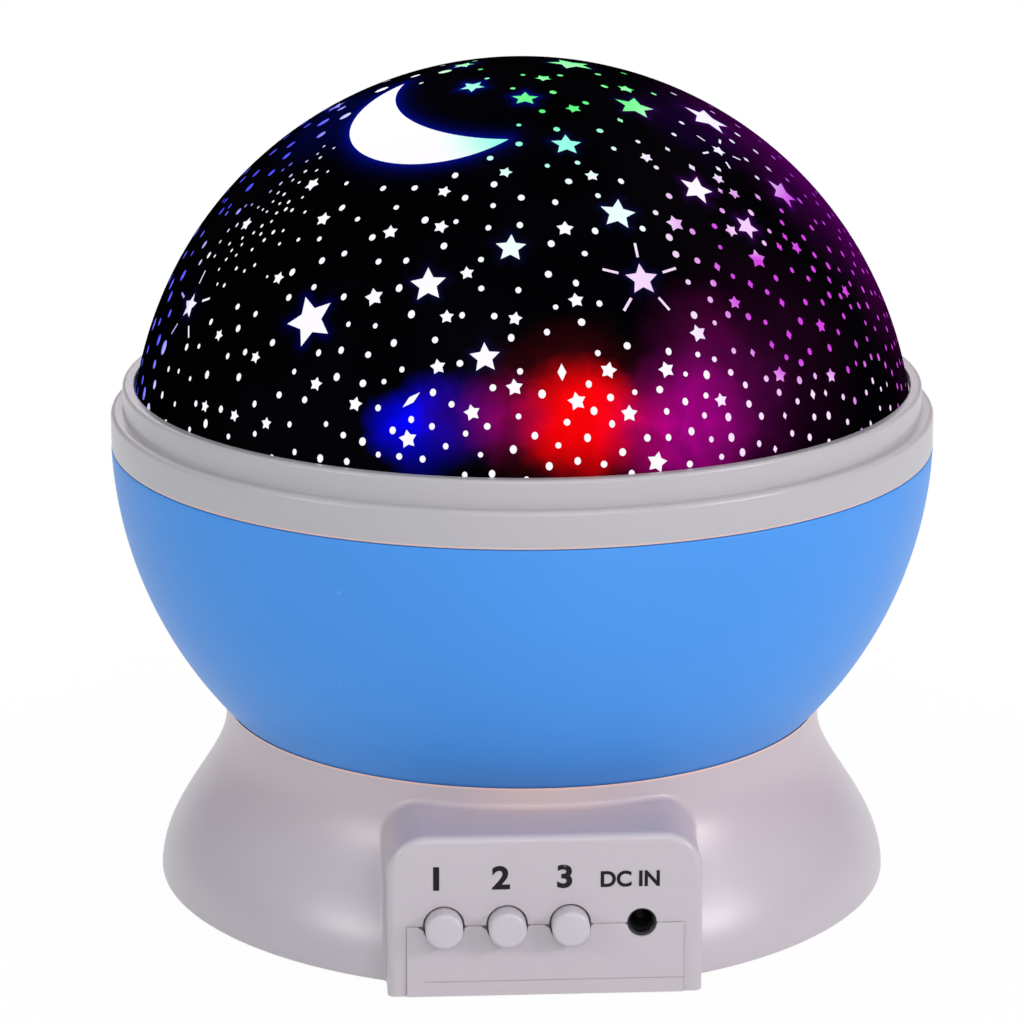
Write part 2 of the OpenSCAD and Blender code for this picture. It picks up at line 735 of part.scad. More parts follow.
module bowl_shell() {
  hub_low = deck_z + 0.02 + washer_t + fit;
  screw_boss_h = 3.5;
  color("cornflowerblue") difference() {
    union() {
      difference() {
        intersection() {
          translate([0, 0, bowl_z]) sphere(r = bowl_r);
          translate([0, 0, floor_z]) cylinder(r = far, h = rim_z - floor_z);
        }
        intersection() {
          translate([0, 0, bowl_z]) sphere(r = bowl_r - bowl_wall);
          translate([0, 0, floor_z + floor_t]) cylinder(r = far, h = far);
        }
      }
      translate([0, 0, hub_low]) cylinder(r = hub_out, h = hub_top - hub_low);
      for (k = [0:3]) rotate([0, 0, 90 * k + 45])
        translate([gear_screw_ring, 0, floor_z]) cylinder(r = motor_screw_r + boss_wall, h = floor_t + screw_boss_h);
    }
    translate([0, 0, hub_low - 1]) cylinder(r = hub_r, h = far);
    for (k = [0:3]) rotate([0, 0, 90 * k + 45])
      translate([gear_screw_ring, 0, floor_z - 1]) cylinder(r = motor_screw_r + fit, h = floor_t + screw_boss_h);
  }
}

module bowl_gear() {
  color("ivory") translate([0, 0, deck_z + gear_lift]) difference() {
    linear_extrude(gear_ring_t) rotate(90 + 180 / bowl_teeth) gear_outline(bowl_teeth);
    translate([0, 0, -1]) cylinder(r = hub_out + 0.1, h = gear_ring_t + 2);
    for (k = [0:3]) rotate([0, 0, 90 * k + 45]) translate([gear_screw_ring, 0, 0]) {
      translate([0, 0, -1]) cylinder(r = motor_screw_r + 0.2, h = gear_ring_t + 2);
      translate([0, 0, -1]) cylinder(r = small_head_r + 0.2, h = small_head_h + 1.2);
    }
  }
}

module gear_screws() {
  color("silver") for (k = [0:3]) rotate([0, 0, 90 * k + 45])
    translate([gear_screw_ring, 0, deck_z + gear_lift + small_head_h + 0.15])
      screw_up(small_head_r, small_head_h - 0.1, motor_screw_r, gear_ring_t + 2.5);
}

module collar_ring() {
  color("gainsboro") difference() {
    rotate_extrude() polygon([
      [collar_r, rim_z + fit], [collar_r, step_z], [seat_r, step_z], [seat_r, collar_top - 0.3],
      [seat_r - 0.3, collar_top], [lip_r, collar_top], [lip_r, collar_top - lip_h],
      [chamber_r, collar_top - lip_h], [chamber_r, ledge_z + ledge_t], [ledge_in, ledge_z + ledge_t],
      [ledge_in, ledge_z], [spigot_r - spigot_wall, ledge_z], [spigot_r - spigot_wall, spigot_z],
      [spigot_r, spigot_z], [spigot_r, rim_z + fit]
    ]);
    for (k = [0:3]) rotate([0, 0, 90 * k + 45])
      translate([dome_screw_ring, 0, ledge_z - 1]) cylinder(r = small_screw_r + 0.2, h = ledge_t + 2);
  }
}

module dome_screws() {
  color("silver") for (k = [0:3]) rotate([0, 0, 90 * k + 45])
    translate([dome_screw_ring, 0, ledge_z - fit])
      screw_up(small_head_r - 0.2, small_head_h, small_screw_r, ledge_t + 1.6);
}

module clear_dome() {
  color("lightblue", 0.4) difference() {
    union() {
      difference() {
        translate([0, 0, dome_z]) sphere(r = clear_r);
        translate([0, 0, dome_z]) sphere(r = clear_r - dome_wall);
        translate([0, 0, dome_seat_z - far]) cylinder(r = far, h = far);
      }
      intersection() {
        translate([0, 0, dome_z]) sphere(r = clear_r - fit);
        translate([0, 0, dome_seat_z]) ring(far, ledge_in + 0.3, dome_flange_t);
      }
    }
    for (k = [0:3]) rotate([0, 0, 90 * k + 45])
      translate([dome_screw_ring, 0, dome_seat_z - 1]) cylinder(r = small_screw_r + fit, h = dome_flange_t + 0.8);
  }
}

module star_mask() {
  color("black") difference() {
    translate([0, 0, dome_z]) sphere(r = dome_r);
    translate([0, 0, dome_z]) sphere(r = dome_r - mask_t);
    translate([0, 0, mask_low - far]) cylinder(r = far, h = far);
    for (s = star_figures) on_dome(s[0], s[1]) star_outline(s[2]);
    for (s = ray_figures) on_dome(s[0], s[1]) for (k = [0:4]) rotate(72 * k)
      translate([0, ray_ring]) square([ray_w, ray_len], center = true);
    on_dome(moon_turn, moon_height) rotate(moon_roll) difference() {
      circle(r = moon_r);
      translate([0, moon_bite]) circle(r = moon_bite_r);
    }
  }
}

module light_post() {
  color("white") difference() {
    union() {
      translate([0, 0, boss_top + fit]) cylinder(r = post_flange_r, h = post_flange_t);
      translate([0, 0, boss_top + fit]) cylinder(r = post_r, h = post_h);
      translate([0, 0, post_top - 2]) cylinder(r = light_screw_ring + 2.4, h = 2);
    }
    cylinder(r = channel_r, h = far);
    for (k = [0:2]) rotate([0, 0, 120 * k + 30])
      translate([post_screw_ring, 0, boss_top]) cylinder(r = motor_screw_r + 0.2, h = 5);
    for (k = [0:2]) rotate([0, 0, 120 * k])
      translate([light_screw_ring, 0, post_top - 3]) cylinder(r = small_screw_r + fit, h = 5);
  }
}

module post_screws() {
  color("silver") for (k = [0:2]) rotate([0, 0, 120 * k + 30])
    translate([post_screw_ring, 0, boss_top + post_flange_t + 2 * fit]) rotate([180, 0, 0])
      screw_up(small_head_r, small_head_h, motor_screw_r, post_flange_t + motor_screw_bite);
}

module light_board() {
  color("white") difference() {
    translate([0, 0, light_board_z]) cylinder(r = light_board_r, h = board_t);
    for (k = [0:2]) rotate([0, 0, 120 * k])
      translate([light_screw_ring, 0, light_board_z - 1]) cylinder(r = small_screw_r + 0.2, h = board_t + 2);
  }
}

module light_board_screws() {
  color("silver") for (k = [0:2]) rotate([0, 0, 120 * k])
    translate([light_screw_ring, 0, light_board_z + board_t + fit]) rotate([180, 0, 0])
      screw_up(small_head_r, small_head_h, small_screw_r, board_t + 1.8);
}

// Diode with a domed lens. Its place is a quarter turn times its number from the first one.
module diode(number) {
  collar_h = 1;
  lens_h = 5;
  rotate([0, 0, diode_turn + 90 * number - 90]) translate([diode_ring_r, 0, diode_z]) {
    cylinder(r = diode_r + 0.4, h = collar_h);
    cylinder(r = diode_r, h = collar_h + lens_h);
    translate([0, 0, collar_h + lens_h]) sphere(r = diode_r);
  }
}
module diode_red() { color("red") diode(0); }
module diode_white() { color("white") diode(1); }
module diode_green() { color("lime") diode(2); }
module diode_blue() { color("blue") diode(3); }

module light_wires() {
  path = smooth_path(light_wire_points, 3);
  color("gold") for (k = [0:4])
    wire(path, wire_r, [1, 0, 0], aside = on_circle(1.15, 72 * k));
}

module battery_wires() {
  path = smooth_path(battery_wire_points, 4);
  color("crimson") for (side = [0, 1]) mirror([side, 0, 0]) wire(path, wire_r, [0, 0, 1]);
}

module motor_wires() {
  path = smooth_path(motor_wire_points, 3);
  color("royalblue") for (side = [-1, 1]) wire(path, wire_r, [0, 0, 1], aside = [0, side * 0.62]);
}

// Button cap with its retaining flange, at rest
module button(index) {
  flange_y = wall_back_y + 0.2;
  tip_r = 0.8;
  x = button_x[index];
  color("whitesmoke") translate([x, 0, parting_z]) rotate([-90, 0, 0]) rotate_extrude() polygon(concat(
    [[0, front_y - button_proud]],
    [for (a = [90:-15:0]) [button_r - tip_r + tip_r * cos(a), front_y - button_proud + tip_r - tip_r * sin(a)]],
    [[button_r, flange_y], [flange_r, flange_y], [flange_r, flange_y + 1.2], [plunger_r + 0.5, flange_y + 1.2]],
    [[plunger_r + 0.5, switch_front_y - button_travel - 1], [0, switch_front_y - button_travel - 1]]
  ));
}
module button_a() { button(0); }
module button_b() { button(1); }
module button_c() { button(2); }

// Plunger of a push switch: it stands in the switch and touches the cap's stem
module plunger(index) {
  start = switch_front_y - button_travel - 1 + 0.02;
  color("ivory") rod_y(button_x[index], start, parting_z, plunger_r, switch_front_y + plunger_in - start);
}
module plunger_a() { plunger(0); }
module plunger_b() { plunger(1); }
module plunger_c() { plunger(2); }

base_shell();
bottom_plate();
battery_door();
rubber_feet();
base_screws();
battery_cells();
battery_springs();
battery_contacts();
main_board();
board_screws();
driver_chip();
filter_capacitor();
switch_bodies();
power_socket();
socket_pin();
gear_case();
motor_can();
motor_screws();
thrust_washer();
light_post();
post_screws();
light_board();
light_board_screws();
diode_white();
diode_red();
diode_green();
diode_blue();
light_wires();
battery_wires();
motor_wires();
bowl_shell();
bowl_gear();
gear_screws();
collar_ring();
clear_dome();
dome_screws();
star_mask();
drive_pinion();
motor_shaft();
button_a();
button_b();
button_c();
plunger_a();
plunger_b();
plunger_c();
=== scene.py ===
import json
import math
import random

import bmesh
import bpy
import numpy as np
from mathutils import Matrix, Vector
from mathutils.geometry import delaunay_2d_cdt


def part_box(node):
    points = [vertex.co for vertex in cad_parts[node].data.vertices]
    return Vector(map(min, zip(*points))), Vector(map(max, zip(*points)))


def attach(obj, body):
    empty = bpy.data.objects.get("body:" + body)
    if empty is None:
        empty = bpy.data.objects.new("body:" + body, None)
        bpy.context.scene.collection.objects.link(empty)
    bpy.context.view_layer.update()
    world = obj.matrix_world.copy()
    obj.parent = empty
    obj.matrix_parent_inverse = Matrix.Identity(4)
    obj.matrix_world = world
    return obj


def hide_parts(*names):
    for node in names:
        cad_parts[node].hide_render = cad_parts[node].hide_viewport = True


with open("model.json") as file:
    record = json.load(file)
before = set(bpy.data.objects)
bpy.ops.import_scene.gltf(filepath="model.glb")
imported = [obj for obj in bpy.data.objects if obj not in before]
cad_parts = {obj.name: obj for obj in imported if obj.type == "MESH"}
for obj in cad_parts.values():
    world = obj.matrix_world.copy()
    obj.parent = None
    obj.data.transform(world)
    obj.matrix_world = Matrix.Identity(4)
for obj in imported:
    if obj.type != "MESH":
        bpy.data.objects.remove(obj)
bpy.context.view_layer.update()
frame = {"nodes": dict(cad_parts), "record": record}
scene = bpy.context.scene
cadNodes = frame["nodes"]
mm = 0.001
print("frame loaded:", len(cadNodes), "nodes")


# camera and lamps
shot = {
    "lens": 146.5, "sensor": 36, "near": 0.01, "place": (-0.03784, -0.63688, 0.23966), "down": 15.87, "turn": -3.258,
}
camera = bpy.data.objects.new("camera", bpy.data.cameras.new("camera"))
camera.data.lens = shot["lens"]
camera.data.sensor_width = shot["sensor"]
camera.data.clip_start = shot["near"]
camera.location = shot["place"]
camera.rotation_euler = (math.radians(90 - shot["down"]), 0, math.radians(shot["turn"]))
scene.collection.objects.link(camera)
scene.camera = camera
scene.view_settings.view_transform = "Standard"

lampTarget = Vector((0, 0, 0.06))
lamps = [
    # name, azimuth, elevation, distance, width, depth, power, colour
    ("leftLamp", -59, 20, 0.75, 0.34, 0.12, 1.25, (0.96, 1.0, 0.99)),
    ("rightLamp", 57, 20, 0.75, 0.34, 0.12, 2.3, (1.0, 0.95, 0.975)),
    ("frontLamp", 6, 27, 0.8, 0.6, 0.5, 1.95, (0.99, 0.99, 1.0)),
    ("topLamp", 10, 80, 0.7, 0.5, 0.5, 0.3, (1.0, 0.97, 1.0)),
    ("backLamp", 180, 32, 0.8, 0.6, 0.5, 1.7, (0.99, 0.99, 1.0)),
]


def aimed(turn, height, length=1.0):
    # the point at a turn from the front and a height above the level, both in degrees
    turn, height = math.radians(turn), math.radians(height)
    flat = length * math.cos(height)
    return Vector((math.sin(turn) * flat, -math.cos(turn) * flat, length * math.sin(height)))


def addLamp(name, azimuth, elevation, distance, width, depth, power, colour):
    data = bpy.data.lights.new(name, "AREA")
    data.shape = "ELLIPSE"
    data.size = width
    data.size_y = depth
    data.energy = power
    data.color = colour
    lamp = bpy.data.objects.new(name, data)
    away = aimed(azimuth, elevation)
    lamp.location = lampTarget + away * distance
    lamp.rotation_mode = "QUATERNION"
    lamp.rotation_quaternion = away.to_track_quat("Z", "Y")
    scene.collection.objects.link(lamp)


for lampFacts in lamps:
    addLamp(*lampFacts)


def fill(tree, node, inputs):
    # an output of another node is linked to the input, and a plain value is set on it
    for key, value in inputs.items():
        if isinstance(value, bpy.types.NodeSocket):
            tree.links.new(value, node.inputs[key])
        else:
            node.inputs[key].default_value = value


def put(tree, kind, inputs=None, **settings):
    node = tree.nodes.new("ShaderNode" + kind)
    for key, value in settings.items():
        setattr(node, key, value)
    fill(tree, node, inputs or {})
    return node


def calc(tree, operation, first, second=0.0):
    return put(tree, "Math", {0: first, 1: second}, operation=operation).outputs[0]


def times(tree, first, second):
    return calc(tree, "MULTIPLY", first, second)


def blendColours(tree, factor, first, second, mode="MIX"):
    node = put(tree, "Mix", {0: factor, 6: first, 7: second}, data_type="RGBA", blend_type=mode)
    return node.outputs[2]


def spread(tree, value, fromLow, fromHigh, toLow=0.0, toHigh=1.0, kind="SMOOTHSTEP"):
    inputs = {0: value, 1: fromLow, 2: fromHigh, 3: toLow, 4: toHigh}
    return put(tree, "MapRange", inputs, interpolation_type=kind).outputs[0]


def rgb(red, green, blue):
    return (red, green, blue, 1.0)


def shade(red, green, blue):
    # a colour given as it looks on a screen, 0 to 255
    return rgb(*[(c / 255 / 12.92) if c < 11 else ((c / 255 + 0.055) / 1.055) ** 2.4 for c in (red, green, blue)])


def localPlace(tree):
    return put(tree, "TexCoord").outputs["Object"]


def worldPlace(tree):
    return put(tree, "NewGeometry").outputs["Position"]


def noise(tree, place, scale, detail=2.0, rough=0.5, **more):
    inputs = {"Vector": place, "Scale": scale, "Detail": detail, "Roughness": rough, **more}
    return put(tree, "TexNoise", inputs).outputs


def startGroup(name, inputs, outputs):
    tree = bpy.data.node_groups.new(name, "ShaderNodeTree")
    for label, kind, value in inputs:
        socket = tree.interface.new_socket(label, in_out="INPUT", socket_type="NodeSocket" + kind)
        socket.default_value = value
    for label, kind in outputs:
        tree.interface.new_socket(label, in_out="OUTPUT", socket_type="NodeSocket" + kind)
    return tree, tree.nodes.new("NodeGroupInput").outputs, tree.nodes.new("NodeGroupOutput")


def useGroup(tree, group, **inputs):
    return put(tree, "Group", inputs, node_tree=group).outputs


surface = {
    "slowScale": 30.0, "mottleScale": 45.0, "speckSize": 0.22, "rubScale": 300.0, "rubBend": (0.52, 0.60),
    "rubPatches": (0.35, 0.7), "dust": (225, 222, 225), "dustShare": 0.1, "mottleShare": 0.35,
    "mottleRange": (0.3, 0.7), "wave": 6.0, "duller": 0.02, "glossier": 0.015,
}
brushed = {"scale": 900.0, "detail": 4.0, "depth": 0.01, "duller": 0.12, "glossier": 0.08}


def makeGrainGroup():
    # fine spark texture of a plastic mould, with a slow waviness and a slight mottle
    tree, given, result = startGroup(
        "mouldGrain", [("Scale", "Float", 2600.0), ("Wave", "Float", 0.4)], [("Height", "Float"), ("Mottle", "Float")])
    place = localPlace(tree)
    fine = noise(tree, place, given["Scale"], 3.0, 0.6)[0]
    waved = times(tree, noise(tree, place, surface["slowScale"], 1.0)[0], given["Wave"])
    mottle = noise(tree, place, surface["mottleScale"])[0]
    fill(tree, result, {"Height": calc(tree, "ADD", fine, waved), "Mottle": mottle})
    return tree


def makeSpeckGroup():
    # sparse dust specks: a mask that is one on a speck
    tree, given, result = startGroup(
        "dustSpecks", [("Scale", "Float", 700.0), ("Amount", "Float", 0.02)], [("Mask", "Float")])
    cells = put(tree, "TexVoronoi", {"Vector": localPlace(tree), "Scale": given["Scale"]}).outputs
    chosen = put(tree, "SeparateColor", {0: cells["Color"]}).outputs[0]
    near = calc(tree, "LESS_THAN", cells["Distance"], surface["speckSize"])
    fill(tree, result, {"Mask": times(tree, near, calc(tree, "LESS_THAN", chosen, given["Amount"]))})
    return tree


def makeRubGroup():
    # paler, rubbed edges
    tree, given, result = startGroup("edgeRub", [("Amount", "Float", 1.0)], [("Mask", "Float")])
    bend = spread(tree, put(tree, "NewGeometry").outputs["Pointiness"], *surface["rubBend"])
    patchy = spread(tree, noise(tree, localPlace(tree), surface["rubScale"], 3.0)[0], *surface["rubPatches"])
    fill(tree, result, {"Mask": times(tree, times(tree, bend, patchy), given["Amount"])})
    return tree


def makeSpotGroup(name, spots, start, mode):
    # coloured patches of light on a ball, each full inside its first radius and gone at its second
    tree, given, result = startGroup(name, [("Place", "Vector", (0, 0, 0))], [("Color", "Color")])
    colour = rgb(*start)
    for turn, height, full, gone, tint in spots:
        centre = aimed(turn, height, dome["radius"]) + Vector((0, 0, dome["centre"]))
        away = put(tree, "VectorMath", {0: given["Place"], 1: centre * mm}, operation="DISTANCE").outputs["Value"]
        colour = blendColours(tree, spread(tree, away, gone * mm, full * mm), colour, rgb(*tint), mode)
    fill(tree, result, {"Color": colour})
    return tree


def freshTree(owner):
    owner.use_nodes = True
    owner.node_tree.nodes.clear()
    return owner.node_tree


def newMaterial(slotName, colour, rough=0.4, **more):
    first, *others = slotName.split("_")
    material = bpy.data.materials.new(first + "".join(word.capitalize() for word in others))
    tree = freshTree(material)
    shader = put(tree, "BsdfPrincipled", {"Base Color": colour, "Roughness": rough})
    fill(tree, shader, {key.replace("_", " "): value for key, value in more.items()})
    put(tree, "OutputMaterial", {0: shader.outputs[0]})
    return material, tree, shader


def addGrain(tree, shader, scale, depth, wave=0.4):
    grain = useGroup(tree, grainGroup, Scale=scale, Wave=wave)
    bump = put(tree, "Bump", {"Height": grain["Height"], "Distance": depth * mm, "Strength": 1.0})
    fill(tree, shader, {"Normal": bump.outputs[0]})
    return grain["Mottle"]


def plasticMaterial(
        slotName, colour, paler, rough, grain=1500.0, depth=0.0008, specks=0.01, rub=0.15, tint=None, **more):
    colour, paler = shade(*colour), shade(*paler)
    material, tree, shader = newMaterial(slotName, colour, rough, **more)
    mottle = addGrain(tree, shader, grain, depth, surface["wave"])
    patchy = spread(tree, mottle, *surface["mottleRange"], 0.0, surface["mottleShare"])
    body = blendColours(tree, patchy, colour, paler)
    dusty = useGroup(tree, speckGroup, Amount=specks)["Mask"]
    body = blendColours(tree, times(tree, dusty, surface["dustShare"]), body, shade(*surface["dust"]))
    body = blendColours(tree, useGroup(tree, rubGroup, Amount=rub)["Mask"], body, paler)
    # a tint function lays painted shade and painted reflections over the colour
    if tint:
        body = tint(tree, body)
    gloss = spread(tree, mottle, *surface["mottleRange"], rough - surface["glossier"], rough + surface["duller"])
    fill(tree, shader, {"Base Color": body, "Roughness": gloss})
    return material


# where each painted shade and painted warm reflection on the white plastic fades in, by height or depth, and its colour
white = {
    "behindFace": (-59.1, -57.2), "neck": (11, 21), "neckPaintedReflection": (190, 177, 182),
    "blockTop": (23.6, 25.1), "blockDepth": (-45.5, -48), "blockTopPaintedReflection": (201, 181, 180),
    "collar": (60, 70), "collarPaintedShade": (175, 173, 178),
    "rims": [(28.3, 28.65), (70.9, 71.25)], "rimPaintedReflection": (232, 190, 178), "rimShare": 0.7,
}


def whitePaintedLight(tree, body):
    # painted shade darkens the collar, and painted warm reflections tint the skirt's neck, the block's top and the thin
    # rims
    across, depth, height = put(tree, "SeparateXYZ", {0: localPlace(tree)}).outputs

    def fade(value, key):
        return spread(tree, value, white[key][0] * mm, white[key][1] * mm)

    def tinted(share, key):
        return blendColours(tree, share, body, shade(*white[key]))

    behind = fade(depth, "behindFace")
    # painted warm reflection on the skirt's neck, kept behind the block's face
    body = tinted(times(tree, fade(height, "neck"), behind), "neckPaintedReflection")
    # painted warm reflection on the block's top
    above = times(tree, fade(height, "blockTop"), fade(depth, "blockDepth"))
    body = tinted(times(tree, above, behind), "blockTopPaintedReflection")
    # painted shade: the collar drawn darker than the rest of the white plastic
    body = tinted(fade(height, "collar"), "collarPaintedShade")
    # painted warm reflection in thin lines along the rims next to the bowl
    for low, high in white["rims"]:
        away = calc(tree, "ABSOLUTE", calc(tree, "SUBTRACT", height, (low + high) / 2 * mm))
        inside = spread(tree, away, (high - low) * 0.75 * mm, (high - low) * 0.35 * mm)
        body = tinted(times(tree, inside, white["rimShare"]), "rimPaintedReflection")
    return body


def metalMaterial(slotName, colour, rough):
    material, tree, shader = newMaterial(slotName, shade(*colour), rough, Metallic=1.0)
    fine = noise(tree, localPlace(tree), brushed["scale"], brushed["detail"])[0]
    gloss = spread(
        tree, fine, *surface["mottleRange"], rough - brushed["glossier"], rough + brushed["duller"], "LINEAR")
    bump = put(tree, "Bump", {"Height": fine, "Distance": brushed["depth"] * mm})
    fill(tree, shader, {"Roughness": gloss, "Normal": bump.outputs[0]})
    return material


def lensMaterial(slotName, colour, strength=0.8):
    material, tree, shader = newMaterial(
        slotName, rgb(*colour), 0.12, Transmission_Weight=0.35, IOR=1.5, Emission_Color=rgb(*colour),
        Emission_Strength=strength)
    addGrain(tree, shader, 900.0, 0.004)
    return material


dome = {
    "radius": 61.65, "ink": 0.05, "gap": 0.02, "seatRadius": 61.2, "innerRadius": 59.6,
    "flange": 56.8, "flangeThick": 2.0, "shoulderDrop": 0.4,
}
dome["centre"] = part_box("star_mask")[1].z / mm - dome["radius"]
dome["inkLow"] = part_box("star_mask")[0].z / mm
dome["seat"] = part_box("clear_dome")[0].z / mm
# light seen through the holes: turn, height, full radius, end radius, colour
holeLights = [
    (160, 40, 20, 58, (0.35, 0.3, 1)),
    (-94, 20, 16, 27, (0.04, 0.04, 0.95)),
    (-90, 50, 11, 21, (0.04, 0.05, 0.95)),
    (62, 33, 23, 38, (0.66, 0.04, 0.76)),
    (88, 52, 10, 24, (0.42, 0.04, 0.72)),
    (44.5, 43, 3, 6, (0.9, 0.6, 0.95)),
    (30, 14, 6, 13, (0.95, 0.72, 1)),
    (45, 13, 5, 11, (0.95, 0.75, 1)),
    (61, 12, 4, 9, (0.95, 0.72, 1)),
    (58, 60, 8, 18, (0.86, 0.85, 1)),
    (38, 50.5, 3, 5, (0.97, 0.92, 1)),
    (16.5, 48, 3, 7, (0.82, 1, 0.96)),
    (17.5, 37.5, 3, 9, (0.9, 0.66, 0.95)),
    (-5.5, 43, 3, 7, (0.86, 1, 0.95)),
    (2, 66, 6, 16, (0.3, 1, 0.78)),
    (30, 82, 14, 22, (0.06, 0.9, 0.17)),
    (-40, 77, 2, 8, (0.2, 0.9, 0.62)),
]
# light that shows through the ink itself
inkLights = [
    (4, 19, 6, 16, (0.03, 0, 0.001)),
    (4.6, 18.5, 2, 10.5, (1.1, 0, 0)),
    (13, 17, 0, 9, (0.19, 0, 0.02)),
    (20.5, 16.5, 0.5, 13, (0.31, 0, 0.19)),
    (29, 19, 0, 15, (0.05, 0, 0.036)),
    (25, 27, 0, 12, (0.045, 0, 0.026)),
    (38, 24, 2, 23, (0.009, 0, 0.0065)),
    (84, 24, 0, 22, (0.022, 0, 0.019)),
    (-21.2, 17.2, 0.3, 6.2, (0, 0, 0.6)),
    (-18.6, 19.6, 0, 4.8, (0, 0, 0.4)),
    (-16.2, 22, 0, 4.6, (0.004, 0, 0.22)),
    (-17, 15, 0, 7, (0, 0, 0.25)),
    (-12.5, 18.5, 0, 8, (0.015, 0, 0.2)),
    (-6, 19, 0, 8, (0.17, 0, 0.06)),
    (96, 42, 2, 34, (0.07, 0, 0.085)),
    (62, 62, 2, 14, (0.005, 0, 0.018)),
    (-78, 62, 2, 15, (0, 0.001, 0.03)),
    (160, 30, 0, 55, (0.008, 0, 0.035)),
]
# light that spills over the rims of the large figures
rimLights = [
    (-42, 68, 14, 24, (0, 0.004, 0.22)),
    (-39, 30, 8, 16, (0, 0, 0.07)),
    (14, 16, 8, 22, (0.25, 0, 0.3)),
    (62, 50, 14, 26, (0.04, 0, 0.08)),
]

grainGroup = makeGrainGroup()
speckGroup = makeSpeckGroup()
rubGroup = makeRubGroup()
holeGroup = makeSpotGroup("holeLight", holeLights, (0.97, 0.95, 1), "MIX")
inkGroup = makeSpotGroup("inkLight", inkLights, (0, 0, 0), "ADD")
rimGroup = makeSpotGroup("rimLight", rimLights, (0.003, 0.003, 0.03), "MIX")


def clearDomeMaterial(slotName):
    # clear plastic lit from inside, so that every hole in the ink glows
    material, tree, shader = newMaterial(
        slotName, rgb(0.01, 0.01, 0.015), 0.3, IOR=1.49, Specular_IOR_Level=0.1, Emission_Strength=1.0)
    fill(tree, shader, {"Emission Color": useGroup(tree, holeGroup, Place=worldPlace(tree))["Color"]})
    addGrain(tree, shader, 500.0, 0.004)
    return material


ink = {
    "dark": (0.0006, 0.0005, 0.001), "pale": (0.0016, 0.0012, 0.002), "driftScale": 160.0, "drift": 0.005,
    "patchScale": 90.0, "patches": (0.8, 1.18),
}


def inkMaterial(slotName):
    # black print that lets some of the lamps' light through and glows around its holes
    material, tree, shader = newMaterial(
        slotName, rgb(*ink["dark"]), 0.7, Specular_IOR_Level=0.0, Emission_Strength=1.0)
    mottle = addGrain(tree, shader, 1500.0, 0.006)
    body = blendColours(tree, spread(tree, mottle, 0.4, 0.7), rgb(*ink["dark"]), rgb(*ink["pale"]))
    place = worldPlace(tree)
    wave = noise(tree, place, ink["driftScale"], 3.0, 0.6)["Color"]
    drift = put(tree, "VectorMath", {0: wave, 1: (0.5, 0.5, 0.5)}, operation="SUBTRACT").outputs[0]
    moved = put(
        tree, "VectorMath", {0: drift, 1: (ink["drift"],) * 3, 2: place}, operation="MULTIPLY_ADD").outputs[0]
    light = useGroup(tree, inkGroup, Place=moved)["Color"]
    patchy = noise(tree, moved, ink["patchScale"], Distortion=1.5)[0]
    light = blendColours(tree, 1.0, light, spread(tree, patchy, 0.3, 0.7, *ink["patches"]), "MULTIPLY")
    near = put(tree, "Attribute", attribute_name="rimGlow").outputs["Fac"]
    light = blendColours(tree, near, light, useGroup(tree, rimGroup, Place=place)["Color"], "ADD")
    fill(tree, shader, {"Base Color": body, "Emission Color": light})
    return material


def boardMaterial(slotName, dark, light):
    # circuit board: lighter copper tracks under the lacquer
    dark, light = shade(*dark), shade(*light)
    material, tree, shader = newMaterial(slotName, dark, 0.3, Coat_Weight=0.3)
    tracks = put(tree, "TexBrick", {
        "Vector": localPlace(tree), "Scale": 260.0, "Color1": light, "Color2": dark, "Mortar": dark})
    fill(tree, shader, {"Base Color": blendColours(tree, 0.45, dark, tracks.outputs["Color"])})
    addGrain(tree, shader, 1200.0, 0.01)
    return material


cell = {"sleeve": (46, 120, 74), "band": (196, 170, 92), "shift": 12.0, "repeat": 22.0, "edge": (17.5, 18.0)}


def cellMaterial(slotName):
    # printed sleeve with a pale band near the button end of each cell
    sleeve = shade(*cell["sleeve"])
    material, tree, shader = newMaterial(slotName, sleeve, 0.28, Coat_Weight=0.4)
    along = put(tree, "SeparateXYZ", {0: localPlace(tree)}).outputs[1]
    bands = calc(tree, "PINGPONG", calc(tree, "ADD", along, cell["shift"] * mm), cell["repeat"] * mm)
    pale = spread(tree, bands, cell["edge"][0] * mm, cell["edge"][1] * mm)
    fill(tree, shader, {"Base Color": blendColours(tree, pale, sleeve, shade(*cell["band"]))})
    addGrain(tree, shader, 700.0, 0.004)
    return material


# each slot's maker, and what it takes: for plastics the colour, a paler one, roughness, and the grain's scale and depth
finishes = {
    "button_plastic": (plasticMaterial, (190, 184, 190), (196, 190, 196), 0.34),
    "clear_plastic": (clearDomeMaterial,),
    "black_ink": (inkMaterial,),
    "grey_rubber": (plasticMaterial, (92, 92, 95), (112, 112, 114), 0.75, 900.0, 0.02),
    "plated_steel": (metalMaterial, (205, 205, 200), 0.3),
    "motor_steel": (metalMaterial, (188, 188, 186), 0.38),
    "cell_wrap": (cellMaterial,),
    "board_laminate": (boardMaterial, (24, 84, 50), (44, 118, 70)),
    "white_laminate": (boardMaterial, (225, 228, 226), (205, 210, 206)),
    "black_plastic": (plasticMaterial, (28, 28, 30), (44, 44, 47), 0.42),
    "capacitor_sleeve": (plasticMaterial, (26, 32, 78), (40, 48, 98), 0.3),
    "white_lens": (lensMaterial, (0.9, 0.93, 1.0)),
    "red_lens": (lensMaterial, (1.0, 0.03, 0.02)),
    "green_lens": (lensMaterial, (0.05, 1.0, 0.15)),
    "blue_lens": (lensMaterial, (0.04, 0.08, 1.0)),
    "yellow_wire": (plasticMaterial, (214, 176, 40), (226, 190, 60), 0.4),
    "red_wire": (plasticMaterial, (176, 30, 34), (196, 46, 48), 0.4),
    "blue_wire": (plasticMaterial, (44, 74, 170), (60, 92, 190), 0.4),
}
